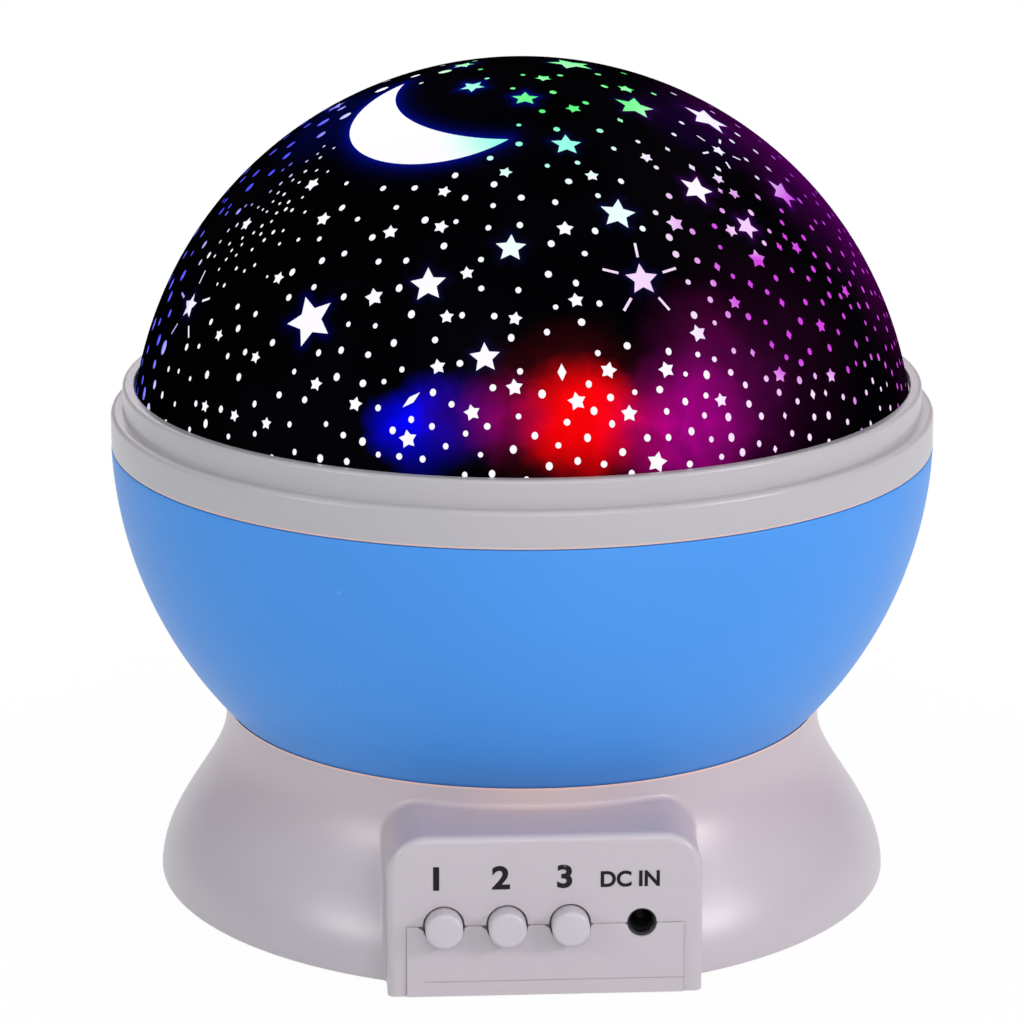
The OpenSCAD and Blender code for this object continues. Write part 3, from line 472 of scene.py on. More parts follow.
look = {slotName: maker(slotName, *facts) for slotName, (maker, *facts) in finishes.items()}
# the white plastic carries painted shade on the collar and painted warm reflections near the bowl
look["white_plastic"] = plasticMaterial(
    "white_plastic", (187, 180, 186), (191, 184, 190), 0.305, tint=whitePaintedLight, Specular_IOR_Level=0.45)
look["blue_plastic"] = plasticMaterial(
    "blue_plastic", (69, 143, 224), (73, 147, 227), 0.42, specks=0.004, Specular_IOR_Level=0.2)
look["gear_nylon"] = plasticMaterial("gear_nylon", (226, 221, 205), (236, 232, 220), 0.4, Subsurface_Weight=0.1)
labelInk = plasticMaterial("label_ink", (14, 13, 16), (24, 22, 26), 0.5, rub=0.0, Specular_IOR_Level=0.2)
# the socket pin drawn near-black as painted shade deep in the socket
pinPaintedShade = metalMaterial("pin_metal", (34, 34, 30), 0.6)
print("materials ready:", len(look))


def settle(piece, body, slotName, *replaced):
    piece.data.materials.clear()
    piece.data.materials.append(look[slotName])
    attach(piece, body)
    if replaced:
        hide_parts(*replaced)
    return piece


def markEdges(bm, sharp):
    # faces are smooth, and edges that bend more than the given angle stay crisp
    limit = math.radians(sharp)
    for face in bm.faces:
        face.smooth = True
    for edge in bm.edges:
        edge.smooth = len(edge.link_faces) == 2 and edge.calc_face_angle(0.0) < limit


def opened(mesh):
    bm = bmesh.new()
    bm.from_mesh(mesh)
    return bm


def pieceFrom(name, bm, sharp=32.0):
    bmesh.ops.recalc_face_normals(bm, faces=bm.faces)
    markEdges(bm, sharp)
    mesh = bpy.data.meshes.new(name)
    bm.to_mesh(mesh)
    bm.free()
    piece = bpy.data.objects.new(name, mesh)
    scene.collection.objects.link(piece)
    return piece


def rounded(corners, steps=5):
    # outline from corners (x, y) or (x, y, radius), with each radius as an arc
    outline = []
    for i, corner in enumerate(corners):
        here = Vector(corner[:2])
        if len(corner) < 3:
            outline.append(tuple(here))
            continue
        back = Vector(corners[i - 1][:2]) - here
        ahead = Vector(corners[(i + 1) % len(corners)][:2]) - here
        half = back.angle(ahead) / 2
        reach = min(corner[2] / math.tan(half), back.length * 0.48, ahead.length * 0.48)
        back.normalize()
        ahead.normalize()
        start, end = here + back * reach, here + ahead * reach
        middle = here + (back + ahead).normalized() * (reach / math.cos(half))
        radius = reach * math.tan(half)
        first = math.atan2(start.y - middle.y, start.x - middle.x)
        sweep = math.atan2(end.y - middle.y, end.x - middle.x) - first
        sweep = (sweep + math.pi) % (2 * math.pi) - math.pi
        for k in range(steps + 1):
            angle = first + sweep * k / steps
            outline.append((middle.x + radius * math.cos(angle), middle.y + radius * math.sin(angle)))
    return outline


def arc(centre, radius, low, high, steps):
    # points (radius, height) on a ball's outline between two heights
    angles = [math.asin(max(-1, min(1, (z - centre) / radius))) for z in (low, high)]
    return [(radius * math.cos(a), centre + radius * math.sin(a)) for a in np.linspace(*angles, steps + 1)]


def latheMesh(outline, segments=256):
    # closed outline of (radius, height) in millimetres, turned about the upright axis
    bm = bmesh.new()
    rings = []
    for k in range(segments):
        turn = 2 * math.pi * k / segments
        rings.append([bm.verts.new((r * mm * math.cos(turn), r * mm * math.sin(turn), z * mm)) for r, z in outline])
    count = len(outline)
    for k in range(segments):
        ring, following = rings[k], rings[(k + 1) % segments]
        for i in range(count):
            j = (i + 1) % count
            if outline[i][0] < 1e-6 and outline[j][0] < 1e-6:
                continue
            bm.faces.new((ring[i], following[i], following[j], ring[j]))
    bmesh.ops.remove_doubles(bm, verts=bm.verts, dist=1e-7)
    return bm


def prismMesh(outlines):
    # closed body through a row of outlines, each a list of points with the same count
    bm = bmesh.new()
    rings = [[bm.verts.new(Vector(p) * mm) for p in outline] for outline in outlines]
    count = len(rings[0])
    for ring, following in zip(rings, rings[1:]):
        for i in range(count):
            bm.faces.new((ring[i], ring[(i + 1) % count], following[(i + 1) % count], following[i]))
    bm.faces.new(rings[0])
    bm.faces.new(rings[-1])
    return bm


def carve(piece, bm, sharp=32.0):
    # one exact boolean with a cutter mesh, applied at once
    tool = pieceFrom("tool", bm, sharp)
    modifier = piece.modifiers.new("carve", "BOOLEAN")
    modifier.operation = "DIFFERENCE"
    modifier.solver = "EXACT"
    modifier.object = tool
    bpy.context.view_layer.update()
    shaped = bpy.data.meshes.new_from_object(piece.evaluated_get(bpy.context.evaluated_depsgraph_get()))
    piece.modifiers.clear()
    piece.data = shaped
    bpy.data.objects.remove(tool)
    bm = opened(piece.data)
    bmesh.ops.dissolve_degenerate(bm, dist=5e-7, edges=bm.edges)
    markEdges(bm, sharp)
    bm.to_mesh(piece.data)
    bm.free()


def groove(piece, outline, ends, sharp=32.0):
    # cuts a channel along x: its outline in depth and height, and where it ends
    carve(piece, prismMesh([[(x, y, z) for y, z in outline] for x in ends]), sharp)


def softCopy(name, nodeName, width, steps=2, sharp=30.0):
    # the node's own shape with its flat faces joined up and its edges rounded
    bm = opened(cadNodes[nodeName].data)
    bmesh.ops.remove_doubles(bm, verts=bm.verts, dist=2e-7)
    bmesh.ops.dissolve_limit(bm, angle_limit=math.radians(0.6), verts=bm.verts, edges=bm.edges)
    edges = [e for e in bm.edges if len(e.link_faces) == 2 and e.calc_face_angle(0.0) > math.radians(sharp)]
    bmesh.ops.bevel(
        bm, geom=edges, offset=width * mm, offset_type="OFFSET", segments=steps, profile=0.5,
        affect="EDGES", clamp_overlap=True)
    return pieceFrom(name, bm, 40.0)


def inTriangles(piece):
    bm = opened(piece.data)
    bmesh.ops.triangulate(bm, faces=bm.faces)
    bm.to_mesh(piece.data)
    bm.free()


def flatFaces(piece, least=2.0):
    # level faces and those above a size in square millimetres are shaded flat, and rounded edges stay smooth
    for face in piece.data.polygons:
        face.use_smooth = face.area / mm ** 2 < least and abs(face.normal.z) < 0.9999
    return piece


base = {
    "skirtRadius": 58.3, "neckRadius": 47.5, "lowEdge": 0.4, "lowRound": 0.35, "floorHeight": 26.4, "wall": 2.0,
    "deckTop": 21.9, "deckUnder": 19.9, "bossRadius": 14.0, "bossTop": 32.9, "channelRadius": 6.0,
    "seatRadius": 64.95, "seatCentre": 72.9, "startRadius": 20.0, "climbs": 118, "innerClimbs": 22,
    "innerClimb": 42, "fineTurn": 31, "fineStep": 0.25, "nearTurn": 46, "nearStep": 1.0, "farStep": 2.0,  # degrees
}
block = {
    "halfWidth": 23.5, "front": 59.4, "top": 25.4, "cornerRadius": 6.0, "edgeRadius": 1.2, "crease": 1.4,
    "panelHalf": 20.68, "parting": 11.5, "line": 11.46, "holes": (-15.1, -5.7, 3.7), "holeRadius": 3.1,
    "socket": 14.4, "socketRadius": 2.2, "notchWide": 0.12, "notchDeep": 0.1, "cutDepth": 4.6, "widestTurn": 42,
}
frontHoles = [(x, block["holeRadius"]) for x in block["holes"]] + [(block["socket"], block["socketRadius"])]


def skirtRadius(height, inset):
    share = np.clip((height - base["lowEdge"]) / (base["floorHeight"] - base["lowEdge"]), 0, 1)
    radius = base["neckRadius"] + (base["skirtRadius"] - base["neckRadius"]) * (1 + np.cos(math.pi * share)) / 2
    corner = base["lowRound"]
    over = np.clip(corner - (height - base["lowEdge"]), 0, corner)
    return radius - inset - (corner - np.sqrt(corner ** 2 - over ** 2))


def blockField(x, depth, height, inset):
    # how far a point lies outside the rounded control block
    corner = block["cornerRadius"] - inset
    edge = max(block["edgeRadius"] - inset, 0.2)
    sideways = np.abs(x) - (block["halfWidth"] - inset - corner)
    upwards = height - (block["top"] - inset - corner)
    flat = np.hypot(np.maximum(sideways, 0), np.maximum(upwards, 0)) + np.minimum(np.maximum(sideways, upwards), 0)
    flat = flat - corner + edge
    ahead = depth - (block["front"] - inset) + edge
    return np.hypot(np.maximum(flat, 0), np.maximum(ahead, 0)) + np.minimum(np.maximum(flat, ahead), 0) - edge


def reachAlong(turns, climbs, inset):
    # where lines from a point inside the wall meet the outer face, for each turn and climb in degrees
    startRadius, startHeight = base["startRadius"], base["lowEdge"]
    turn, climb = np.meshgrid(np.radians(turns), np.radians(climbs), indexing="ij")

    def search(outside):
        low, high = np.zeros_like(turn), np.full_like(turn, 90.0)
        for step in range(34):
            middle = (low + high) / 2
            radius, height = startRadius + middle * np.cos(climb), startHeight + middle * np.sin(climb)
            out = outside(radius, height)
            low, high = np.where(out, low, middle), np.where(out, middle, high)
        return low

    skirt = search(lambda r, z: r > skirtRadius(z, inset))
    body = search(lambda r, z: blockField(r * np.sin(turn), r * np.cos(turn), z, inset) > 0)
    body = np.where(np.abs(turns)[:, None] < block["widestTurn"], body, 0.0)
    crease = block["crease"]
    share = np.maximum(crease - np.abs(skirt - body), 0) / crease
    reach = np.maximum(skirt, body) + share ** 2 * crease / 4
    if inset:
        reach = np.minimum(reach, (base["deckUnder"] - startHeight) / np.maximum(np.sin(climb), 1e-6))
    return startRadius + reach * np.cos(climb), startHeight + reach * np.sin(climb)


def seatHeight(radius):
    # height at which the hollow that the bowl sits over crosses a radius
    return base["seatCentre"] - math.sqrt(base["seatRadius"] ** 2 - radius ** 2)


def makeBaseShell():
    # columns of points from the rim up outside, in over the deck and down inside, closest together at the block
    fine, near, fineStep, step = base["fineTurn"], base["nearTurn"], base["fineStep"], base["nearStep"]
    back = 360 - near + step
    turns = np.concatenate([
        np.arange(-fine, fine + fineStep / 2, fineStep), np.arange(fine + step, near, step),
        np.arange(near, back, base["farStep"]), np.arange(back, 360 - fine, step)])
    wrapped = (turns + 180) % 360 - 180
    neckRadius, insideRadius = base["neckRadius"], base["neckRadius"] - base["wall"]
    neckTop = seatHeight(neckRadius)
    lastClimb = math.degrees(math.atan2(neckTop - base["lowEdge"], neckRadius - base["startRadius"]))
    outer = reachAlong(wrapped, np.linspace(0, lastClimb, base["climbs"]), 0.0)
    inner = reachAlong(wrapped, np.linspace(base["innerClimb"], 0, base["innerClimbs"]), base["wall"])
    middle = rounded([
        (neckRadius, neckTop), (insideRadius, seatHeight(insideRadius), 0.3), (insideRadius, base["deckTop"], 0.8),
        (base["bossRadius"], base["deckTop"], 0.6), (base["bossRadius"], base["bossTop"], 0.3),
        (base["channelRadius"], base["bossTop"], 0.3), (base["channelRadius"], base["deckUnder"]),
    ], 3)[1:]
    bm = bmesh.new()
    columns = []
    for k, turn in enumerate(np.radians(turns)):
        outline = list(zip(outer[0][k], outer[1][k])) + middle + list(zip(inner[0][k], inner[1][k]))
        columns.append([
            bm.verts.new((r * mm * math.sin(turn), -r * mm * math.cos(turn), z * mm)) for r, z in outline])
    for column, following in zip(columns, columns[1:] + columns[:1]):
        for i in range(len(column)):
            j = (i + 1) % len(column)
            bm.faces.new((column[i], following[i], following[j], column[j]))
    return pieceFrom("baseShell", bm)


def windowOutline(depth, grow):
    # outline of the panel window with the upper halves of the holes, seen from the front
    half, line = block["panelHalf"] + grow, block["line"] + grow
    points = [(-half, 0.0), (-half, line)]
    for x, radius in frontHoles:
        radius += grow
        low = math.degrees(math.asin(min(1.0, (grow + block["notchDeep"]) / radius)))
        points.append((x - radius - block["notchWide"], line))
        for angle in np.radians(np.linspace(180 - low, low, 25)):
            points.append((x + radius * math.cos(angle), block["parting"] + radius * math.sin(angle)))
        points.append((x + radius + block["notchWide"], line))
    points += [(half, line), (half, 0.0)]
    return [(x, depth, z) for x, z in points]


baseShell = makeBaseShell()
front = -block["front"]
window = [(front - 3.0, 0.04), (front, 0.03), (front + 0.05, 0.0), (front + block["cutDepth"], 0.0)]
carve(baseShell, prismMesh([windowOutline(depth, grow) for depth, grow in window]))
settle(baseShell, "base", "white_plastic", "base_shell")
print("base shell ready")


stepLine = {"height": 2.75, "wide": 0.16, "deep": 0.12, "ends": (-18.2, 20.9)}
# small wedges beside the holes: width and height on each side, depth, overlap with the hole, share at the socket
nicks = {"left": (0.85, 0.75), "right": (0.4, 0.4), "deep": 1.3, "overlap": 0.25, "socketShare": 0.55}


def makeBottomPlate():
    plate = softCopy("bottomPlate", "bottom_plate", 0.04)
    face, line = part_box("bottom_plate")[0].y / mm, block["line"]
    low, high = stepLine["height"] - stepLine["wide"] / 2, stepLine["height"] + stepLine["wide"] / 2
    near, far = face - 1, face + stepLine["deep"]
    groove(plate, [(near, low), (far, low), (far, high), (near, high)], stepLine["ends"], 40.0)
    for x, radius in frontHoles:
        share = nicks["socketShare"] if x == block["socket"] else 1.0
        for side, (wide, tall) in ((-1, nicks["left"]), (1, nicks["right"])):
            edge = x + side * (radius - nicks["overlap"])
            away = x + side * (radius + wide * share)
            wedge = [(away, line + 0.1), (edge, line + 0.1), (edge, line - tall * share), (away, line - 0.02)]
            ends = (face - 1, face + nicks["deep"])
            carve(plate, prismMesh([[(x, y, z) for x, z in wedge] for y in ends]), 40.0)
    return flatFaces(plate)


grip = {"halfLength": 7.0, "wide": 0.6, "deep": 0.4, "first": -17.4, "pitch": 1.3, "count": 5}


def makeBatteryDoor():
    door = softCopy("batteryDoor", "battery_door", 0.2)
    inTriangles(door)
    low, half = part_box("bottom_plate")[0].z / mm, grip["wide"] / 2
    ends = (-grip["halfLength"], grip["halfLength"])
    for k in range(grip["count"]):
        middle = grip["first"] + k * grip["pitch"]
        rise = [(middle - half, low - 1), (middle - half, low), (middle - half * 0.5, low + grip["deep"])]
        fall = [(middle + half * 0.5, low + grip["deep"]), (middle + half, low), (middle + half, low - 1)]
        groove(door, rise + fall, ends)
    return flatFaces(door)


screw = {"places": [(38, 14), (-38, 14), (38, -20), (-38, -20)], "slot": 0.3, "reach": 1.35, "deep": 1.0, "taper": 0.45}


def makeBaseScrews():
    # the node's screws with a tapered cross in each head
    screws = softCopy("baseScrews", "base_screws", 0.25, 3)
    face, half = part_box("base_screws")[0].z / mm, screw["slot"]
    for middleX, middleY in screw["places"]:
        cross = []
        for height, share in ((face - 0.5, 1.0), (face, 1.0), (face + screw["deep"], screw["taper"])):
            reach = screw["reach"] * share
            arm = [(half, half), (half, reach), (-half, reach)]
            points = [(x * c - y * s, x * s + y * c) for c, s in ((1, 0), (0, 1), (-1, 0), (0, -1)) for x, y in arm]
            cross.append([(middleX + x, middleY + y, height) for x, y in points])
        carve(screws, prismMesh(cross))
    return flatFaces(screws)


nose = {"front": -59.25, "back": -57.3, "outer": 2.17, "inner": 1.85, "bevel": (0.2, 0.25)}


def facingFront(bm, x):
    # lays an upright lathed shape down at one of the block's holes
    turn = Matrix.Rotation(math.radians(-90), 4, "X")
    bmesh.ops.transform(bm, matrix=Matrix.Translation((x * mm, 0, block["parting"] * mm)) @ turn, verts=bm.verts)
    return bm


def makeSocketNose():
    inner, (wide, deep) = nose["inner"], nose["bevel"]
    tube = latheMesh([
        (nose["outer"], nose["front"]), (nose["outer"], nose["back"]), (inner, nose["back"]),
        (inner, nose["front"] + deep), (inner + wide, nose["front"])], 64)
    return pieceFrom("socketNose", facingFront(tube, block["socket"]))


settle(makeBottomPlate(), "base", "white_plastic", "bottom_plate")
settle(makeBatteryDoor(), "battery_door", "white_plastic", "battery_door")
settle(flatFaces(softCopy("rubberFeet", "rubber_feet", 0.35, 3)), "base", "grey_rubber", "rubber_feet")
settle(makeBaseScrews(), "base", "plated_steel", "base_screws")
settle(makeSocketNose(), "base", "black_plastic")
print("bottom ready")


bowl = {
    "radius": 64.79, "centre": 72.9, "wall": 2.0, "low": 26.4, "rim": 70.9, "floor": 2.0,
    "hubRadius": 14.1, "hubOuter": 17.0, "hubLow": 22.72, "hubTop": 32.6, "bevel": 0.3,
    # points of the rounded foot and rim: how far in, and how far up or down
    "footEdge": [(0.8, 0), (0.15, 0.15)], "footRise": 0.7, "rimEdge": [(0.12, 0.1), (0.4, 0)], "rimDrop": 0.35,
}
collar = {
    "outer": 64.7, "seat": 62.8, "low": 70.95, "step": 76.65, "top": 80.75, "lip": 60.9, "lipDepth": 1.2,
    "chamber": 61.4, "ledgeTop": 73.2, "ledgeLow": 71.7, "ledgeInner": 56.5, "spigot": 62.3, "spigotLow": 66.4,
    "spigotWall": 1.5,
}


def makeBowl():
    b = bowl
    ball, centre, inside = b["radius"], b["centre"], b["radius"] - b["wall"]
    flatEdge = math.sqrt(ball ** 2 - (centre - b["low"]) ** 2)
    floorTop, bevel = b["low"] + b["floor"], b["bevel"]
    outline = [(b["hubOuter"], b["low"])] + [(flatEdge - back, b["low"] + up) for back, up in b["footEdge"]]
    outline += arc(centre, ball, b["low"] + b["footRise"], b["rim"] - b["rimDrop"], 72)
    outline += [(ball - back, b["rim"] - down) for back, down in b["rimEdge"]] + [(inside + bevel, b["rim"])]
    outline += arc(centre, inside, floorTop, b["rim"] - bevel, 40)[::-1]
    outline += [
        (b["hubOuter"], floorTop), (b["hubOuter"], b["hubTop"] - bevel), (b["hubOuter"] - bevel, b["hubTop"]),
        (b["hubRadius"], b["hubTop"]), (b["hubRadius"], b["hubLow"]), (b["hubOuter"], b["hubLow"]),
    ]
    return pieceFrom("bowlShell", latheMesh(outline, 288))


def makeCollar():
    c = collar
    outline = rounded([
        (c["outer"], c["low"], 0.25), (c["outer"], c["step"], 0.8), (c["seat"], c["step"], 0.12),
        (c["seat"], c["top"], 0.6), (c["lip"], c["top"], 0.3), (c["lip"], c["top"] - c["lipDepth"]),
        (c["chamber"], c["top"] - c["lipDepth"]), (c["chamber"], c["ledgeTop"], 0.3),
        (c["ledgeInner"], c["ledgeTop"], 0.3), (c["ledgeInner"], c["ledgeLow"], 0.3),
        (c["spigot"] - c["spigotWall"], c["ledgeLow"]), (c["spigot"] - c["spigotWall"], c["spigotLow"], 0.3),
        (c["spigot"], c["spigotLow"], 0.3), (c["spigot"], c["low"]),
    ], 6)
    return pieceFrom("collarRing", latheMesh(outline, 288))


settle(makeBowl(), "bowl", "blue_plastic", "bowl_shell")
settle(makeCollar(), "bowl", "white_plastic", "collar_ring")
print("bowl and collar ready")


# figures of the ink layer: turn from the front, height above the dome's equator, width, and a tilt where it is set
bigStars = [
    (-39, 30, 8.2, 33), (-19.5, 37, 5.6, 10), (-5.5, 43, 4.7, -1), (-9, 27, 4.6, 5), (16.5, 48, 5.6, -17),
    (17.5, 37.5, 5.2, -4), (38, 50.5, 5.6, 35), (9.5, 61.5, 4.8, -8), (45.5, 68.5, 6.6, 25), (71, 61.5, 8.2),
    (64, 46, 6), (44.5, 43, 4.3, 25), (-28.5, 34.5, 3, 22), (-2, 73.5, 4.4, -2), (-99, 81.5, 4.2), (92, 83, 8),
    (-70, 27, 4.4, 8), (-35, 76.5, 4.2), (-105, 40, 5.5), (-130, 22, 4.5), (110, 35, 5.5), (135, 55, 4.5),
    (160, 28, 6), (-160, 48, 5), (-95, 62, 4.2), (180, 68, 4.5), (90, 20, 4),
]
smallStars = [
    (-13, 39, 2.2), (-21, 52, 2.2), (-19.5, 46, 2.4), (-29.5, 44.5, 2.5), (-46, 45, 2.6), (-56, 50, 2.8),
    (-67, 41, 2.6), (-49, 35, 2.2), (-15.5, 32.5, 2.2), (-4.5, 32.5, 2.2), (-16, 25.5, 2.4), (-4.5, 23, 2.6),
    (-10.5, 19.5, 2.5), (-19.5, 15.5, 2.8), (-28, 19.5, 2.3), (-35, 21.5, 2.2), (-47.5, 23.5, 2), (-57.5, 25, 2),
    (-49, 15, 2), (-56, 15, 2), (-42.5, 15, 2), (-7.5, 56, 2.2), (5.5, 35, 2.4), (5, 46, 2.7), (13.5, 55, 2.3),
    (30.5, 57.5, 2.2), (28, 45.5, 3), (46.5, 51.5, 2.3), (47.5, 48.5, 2.2), (40, 43, 2.4), (42.5, 38, 3.4),
    (54.5, 38, 2.4), (33.5, 32.5, 2.2), (25, 29, 2.8), (18.5, 24.5, 2.6), (9.5, 25, 2.6), (4.5, 21, 2.8),
    (12, 19, 2.6), (26.5, 19.5, 2.2), (15.5, 12.2, 3.2), (38, 21.5, 2.6), (49, 19.5, 2.4), (62.5, 29.5, 2.4),
    (50.5, 26.5, 2.4), (18, 70, 2.6), (58, 73, 3), (15, 80.5, 2.8), (56, 56, 2.6, 10),
]
diamonds = [(-19.5, 20.8, 3.4, 1.0, -45), (2.5, 25, 2.6, 1.3, 0)]  # turn, height, length, width, tilt
# short rays around some stars: turn, height, distance, length, tilt
rays = {
    "places": [(17.5, 37.5, 4.8, 2.4, -4), (56, 56, 3.3, 1.5, 10), (-70, 27, 4.8, 2.2, 8)], "width": 0.42, "count": 5,
}
moon = {
    "turn": -38, "height": 70.3, "radius": 14.95, "biteRadius": 18.4, "bite": 12.65, "roll": -23.6, "glow": 1.2,
    "steps": (60, 40), "clearDrop": 5, "clearInset": 1.0,
}
star = {"large": 3.6, "waist": 0.48, "smallWaist": 0.56, "glow": 0.6, "tilt": 16}
dots = {
    "count": 1500, "tries": 14, "low": 10.5, "high": 86, "radius": (0.38, 0.56), "sides": 10, "seed": 23,
    "clusterRadius": (0.24, 0.36), "clusterSpacing": 1.35, "clusterFlat": 0.8, "tall": 1.25,
    "topSine": 0.995, "starRoom": 0.7, "diamondRoom": 0.6, "moonRoom": 1.0,
    "thinFrom": 56, "thinOver": 14, "thinBy": 1.4,  # wider spacing from a height on, over some degrees
}
# spacing of the dots from a turn onwards: turn, a height, spacing below it and above it
dotRows = [(24, 44, 2.75, 3.9), (-30, 24, 3.1, 4.0), (-181, 0, 3.7, 3.7)]
dotDiamonds = {"from": 30, "share": 0.2, "wide": 1.05, "tall": 1.5}
# tight clusters of tiny dots: turn, height, spread, count
clusters = [(-61, 46, 5.5, 40), (-64.5, 36, 4.5, 16), (-74, 42, 7, 14)]
edgeDots = {"from": -110, "to": -73, "grow": 1.8}
inkGrid = {
    "spacing": 1.5, "rim": 320, "rings": (0.5, 1.1, 1.9), "ringGap": 0.16, "gridGap": 0.28, "fade": 1.4,
    "ringReach": 0.98, "gridReach": 0.985,
}


def turned(points, angle):
    cos, sin = math.cos(math.radians(angle)), math.sin(math.radians(angle))
    return [(x * cos - y * sin, x * sin + y * cos) for x, y in points]


def starShape(width, turn, waist):
    points = []
    for i in range(10):
        reach = width / 2 * (1 if i % 2 == 0 else waist)
        angle = math.pi / 2 + math.pi / 5 * i + turn
        points.append((reach * math.cos(angle), reach * math.sin(angle)))
    return points


def moonShape():
    # crescent between two circles, given in the plane that touches the dome
    big, small, shift = moon["radius"], moon["biteRadius"], moon["bite"]
    crossing = (shift ** 2 + big ** 2 - small ** 2) / (2 * shift)
    half = math.acos(crossing / big)
    bigSteps, smallSteps = moon["steps"]
    outside = [math.pi / 2 + half + (2 * math.pi - 2 * half) * k / bigSteps for k in range(bigSteps + 1)]
    points = [(big * math.cos(a), big * math.sin(a)) for a in outside]
    reach = math.atan2(big * math.sin(half), shift - crossing)
    inside = [-math.pi / 2 + reach - 2 * reach * k / smallSteps for k in range(1, smallSteps)]
    points += [(small * math.cos(a), shift + small * math.sin(a)) for a in inside]
    return turned(points, moon["roll"])


def ontoBall(turn, height, points):
    # flat figure pressed straight onto the ball
    out = aimed(turn, height)
    across = Vector((math.cos(math.radians(turn)), math.sin(math.radians(turn)), 0))
    up = out.cross(across)
    return [across * x + up * y + out * math.sqrt(dome["radius"] ** 2 - x * x - y * y) for x, y in points]


def flatten(point):
    # ball to plane, seen from the lowest point of the ball
    unit = point.normalized()
    return Vector((unit.x, unit.y)) / (1 + unit.z)


def inflate(flat, radius):
    square = flat.length_squared
    return Vector((2 * flat.x, 2 * flat.y, 1 - square)) * (radius / (1 + square))


def dotSpacing(turn, height):
    # closer together at both sides and low down, wide apart in the middle and at the top
    spacing = next(low if height < limit else high for first, limit, low, high in dotRows if turn > first)
    return spacing + dots["thinBy"] * max(0.0, min(1.0, (height - dots["thinFrom"]) / dots["thinOver"]))


def placeDots():
    # seeded scatter: each dot takes the first try that keeps clear of figures and other dots
    random.seed(dots["seed"])
    ball = dome["radius"]
    starRoom, diamondRoom = dots["starRoom"], dots["diamondRoom"]
    rooms = [(t, h, w / 2 + starRoom) for t, h, w, *tilt in bigStars + smallStars]
    rooms += [(t, h, away + length / 2 + starRoom) for t, h, away, length, tilt in rays["places"]]
    rooms += [(t, h, long / 2 + diamondRoom) for t, h, long, wide, tilt in diamonds]
    rooms.append((moon["turn"], moon["height"] - moon["clearDrop"], moon["radius"] - moon["clearInset"]))
    fixed = [(aimed(t, h, ball), room) for t, h, room in rooms]
    fixed += [(p, dots["moonRoom"]) for p in ontoBall(moon["turn"], moon["height"], moonShape())]
    centres = np.array([tuple(p) for p, room in fixed])
    clear = np.array([room for p, room in fixed])
    lowest = math.sin(math.radians(dots["low"]))
    found, places = [], np.zeros((0, 3))
    wanted = [(place, dots["clusterRadius"]) for place in clusters for k in range(place[3])]
    wanted += [(None, dots["radius"])] * dots["count"]
    for place, sizes in wanted:
        for attempt in range(dots["tries"]):
            if place:
                turn = random.gauss(place[0], place[2])
                height = random.gauss(place[1], place[2] * dots["clusterFlat"])
                room = dots["clusterSpacing"]
            else:
                turn = random.uniform(-180, 180)
                height = math.degrees(math.asin(random.uniform(lowest, dots["topSine"])))
                room = dotSpacing(turn, height)
            radius = random.uniform(*sizes)
            if edgeDots["from"] < turn < edgeDots["to"]:
                radius *= edgeDots["grow"]
            if not dots["low"] < height < dots["high"]:
                continue
            point = np.array(tuple(aimed(turn, height, ball)))
            if np.any(np.linalg.norm(centres - point, axis=1) < clear + radius):
                continue
            if len(places) and np.min(np.linalg.norm(places - point, axis=1)) < room:
                continue
            places = np.vstack([places, point])
            found.append((turn, height, radius))
            break
    return found


def dotShape(turn, radius):
    # round dots, with some upright diamonds on the right-hand side
    if turn > dotDiamonds["from"] and random.random() < dotDiamonds["share"]:
        wide, tall = radius * dotDiamonds["wide"], radius * dotDiamonds["tall"]
        return [(wide, 0), (0, tall), (-wide, 0), (0, -tall)]
    step = 2 * math.pi / dots["sides"]
    tall = random.uniform(1.0, dots["tall"])
    return [(radius * math.cos(step * k), radius * tall * math.sin(step * k)) for k in range(dots["sides"])]


def inkOutlines():
    # outlines on the ball with the reach of the glow around each; dots have none
    random.seed(5)
    outlines = []

    def add(turn, height, points, glow=0.0):
        outlines.append((ontoBall(turn, height, points), glow))

    for turn, height, width, *tilt in bigStars + smallStars:
        freeTilt = random.uniform(-star["tilt"], star["tilt"])
        large = width > star["large"]
        shape = starShape(width, math.radians(tilt[0] if tilt else freeTilt), star["waist" if large else "smallWaist"])
        add(turn, height, shape, star["glow"] if large else 0.0)
    half = rays["width"] / 2
    for turn, height, away, length, tilt in rays["places"]:
        inner, outer = away - length / 2, away + length / 2
        bar = [(-half, inner), (half, inner), (half, outer), (-half, outer)]
        for k in range(rays["count"]):
            add(turn, height, turned(bar, 72 * k + tilt))
    for turn, height, long, wide, tilt in diamonds:
        add(turn, height, turned([(wide / 2, 0), (0, long / 2), (-wide / 2, 0), (0, -long / 2)], tilt))
    add(moon["turn"], moon["height"], moonShape(), moon["glow"])
    for turn, height, radius in placeDots():
        add(turn, height, dotShape(turn, radius))
    return outlines


def ringAround(outline, away):
    # points on the ball at a set distance outside an outline
    count = len(outline)
    ring = []
    for i, point in enumerate(outline):
        side = (outline[(i + 1) % count] - outline[i - 1]).cross(point).normalized()
        ring.append((point + side * away).normalized() * dome["radius"])
    return ring


def finer(outline, parts):
    return [a.lerp(b, t / parts) for a, b in zip(outline, outline[1:] + outline[:1]) for t in range(parts)]


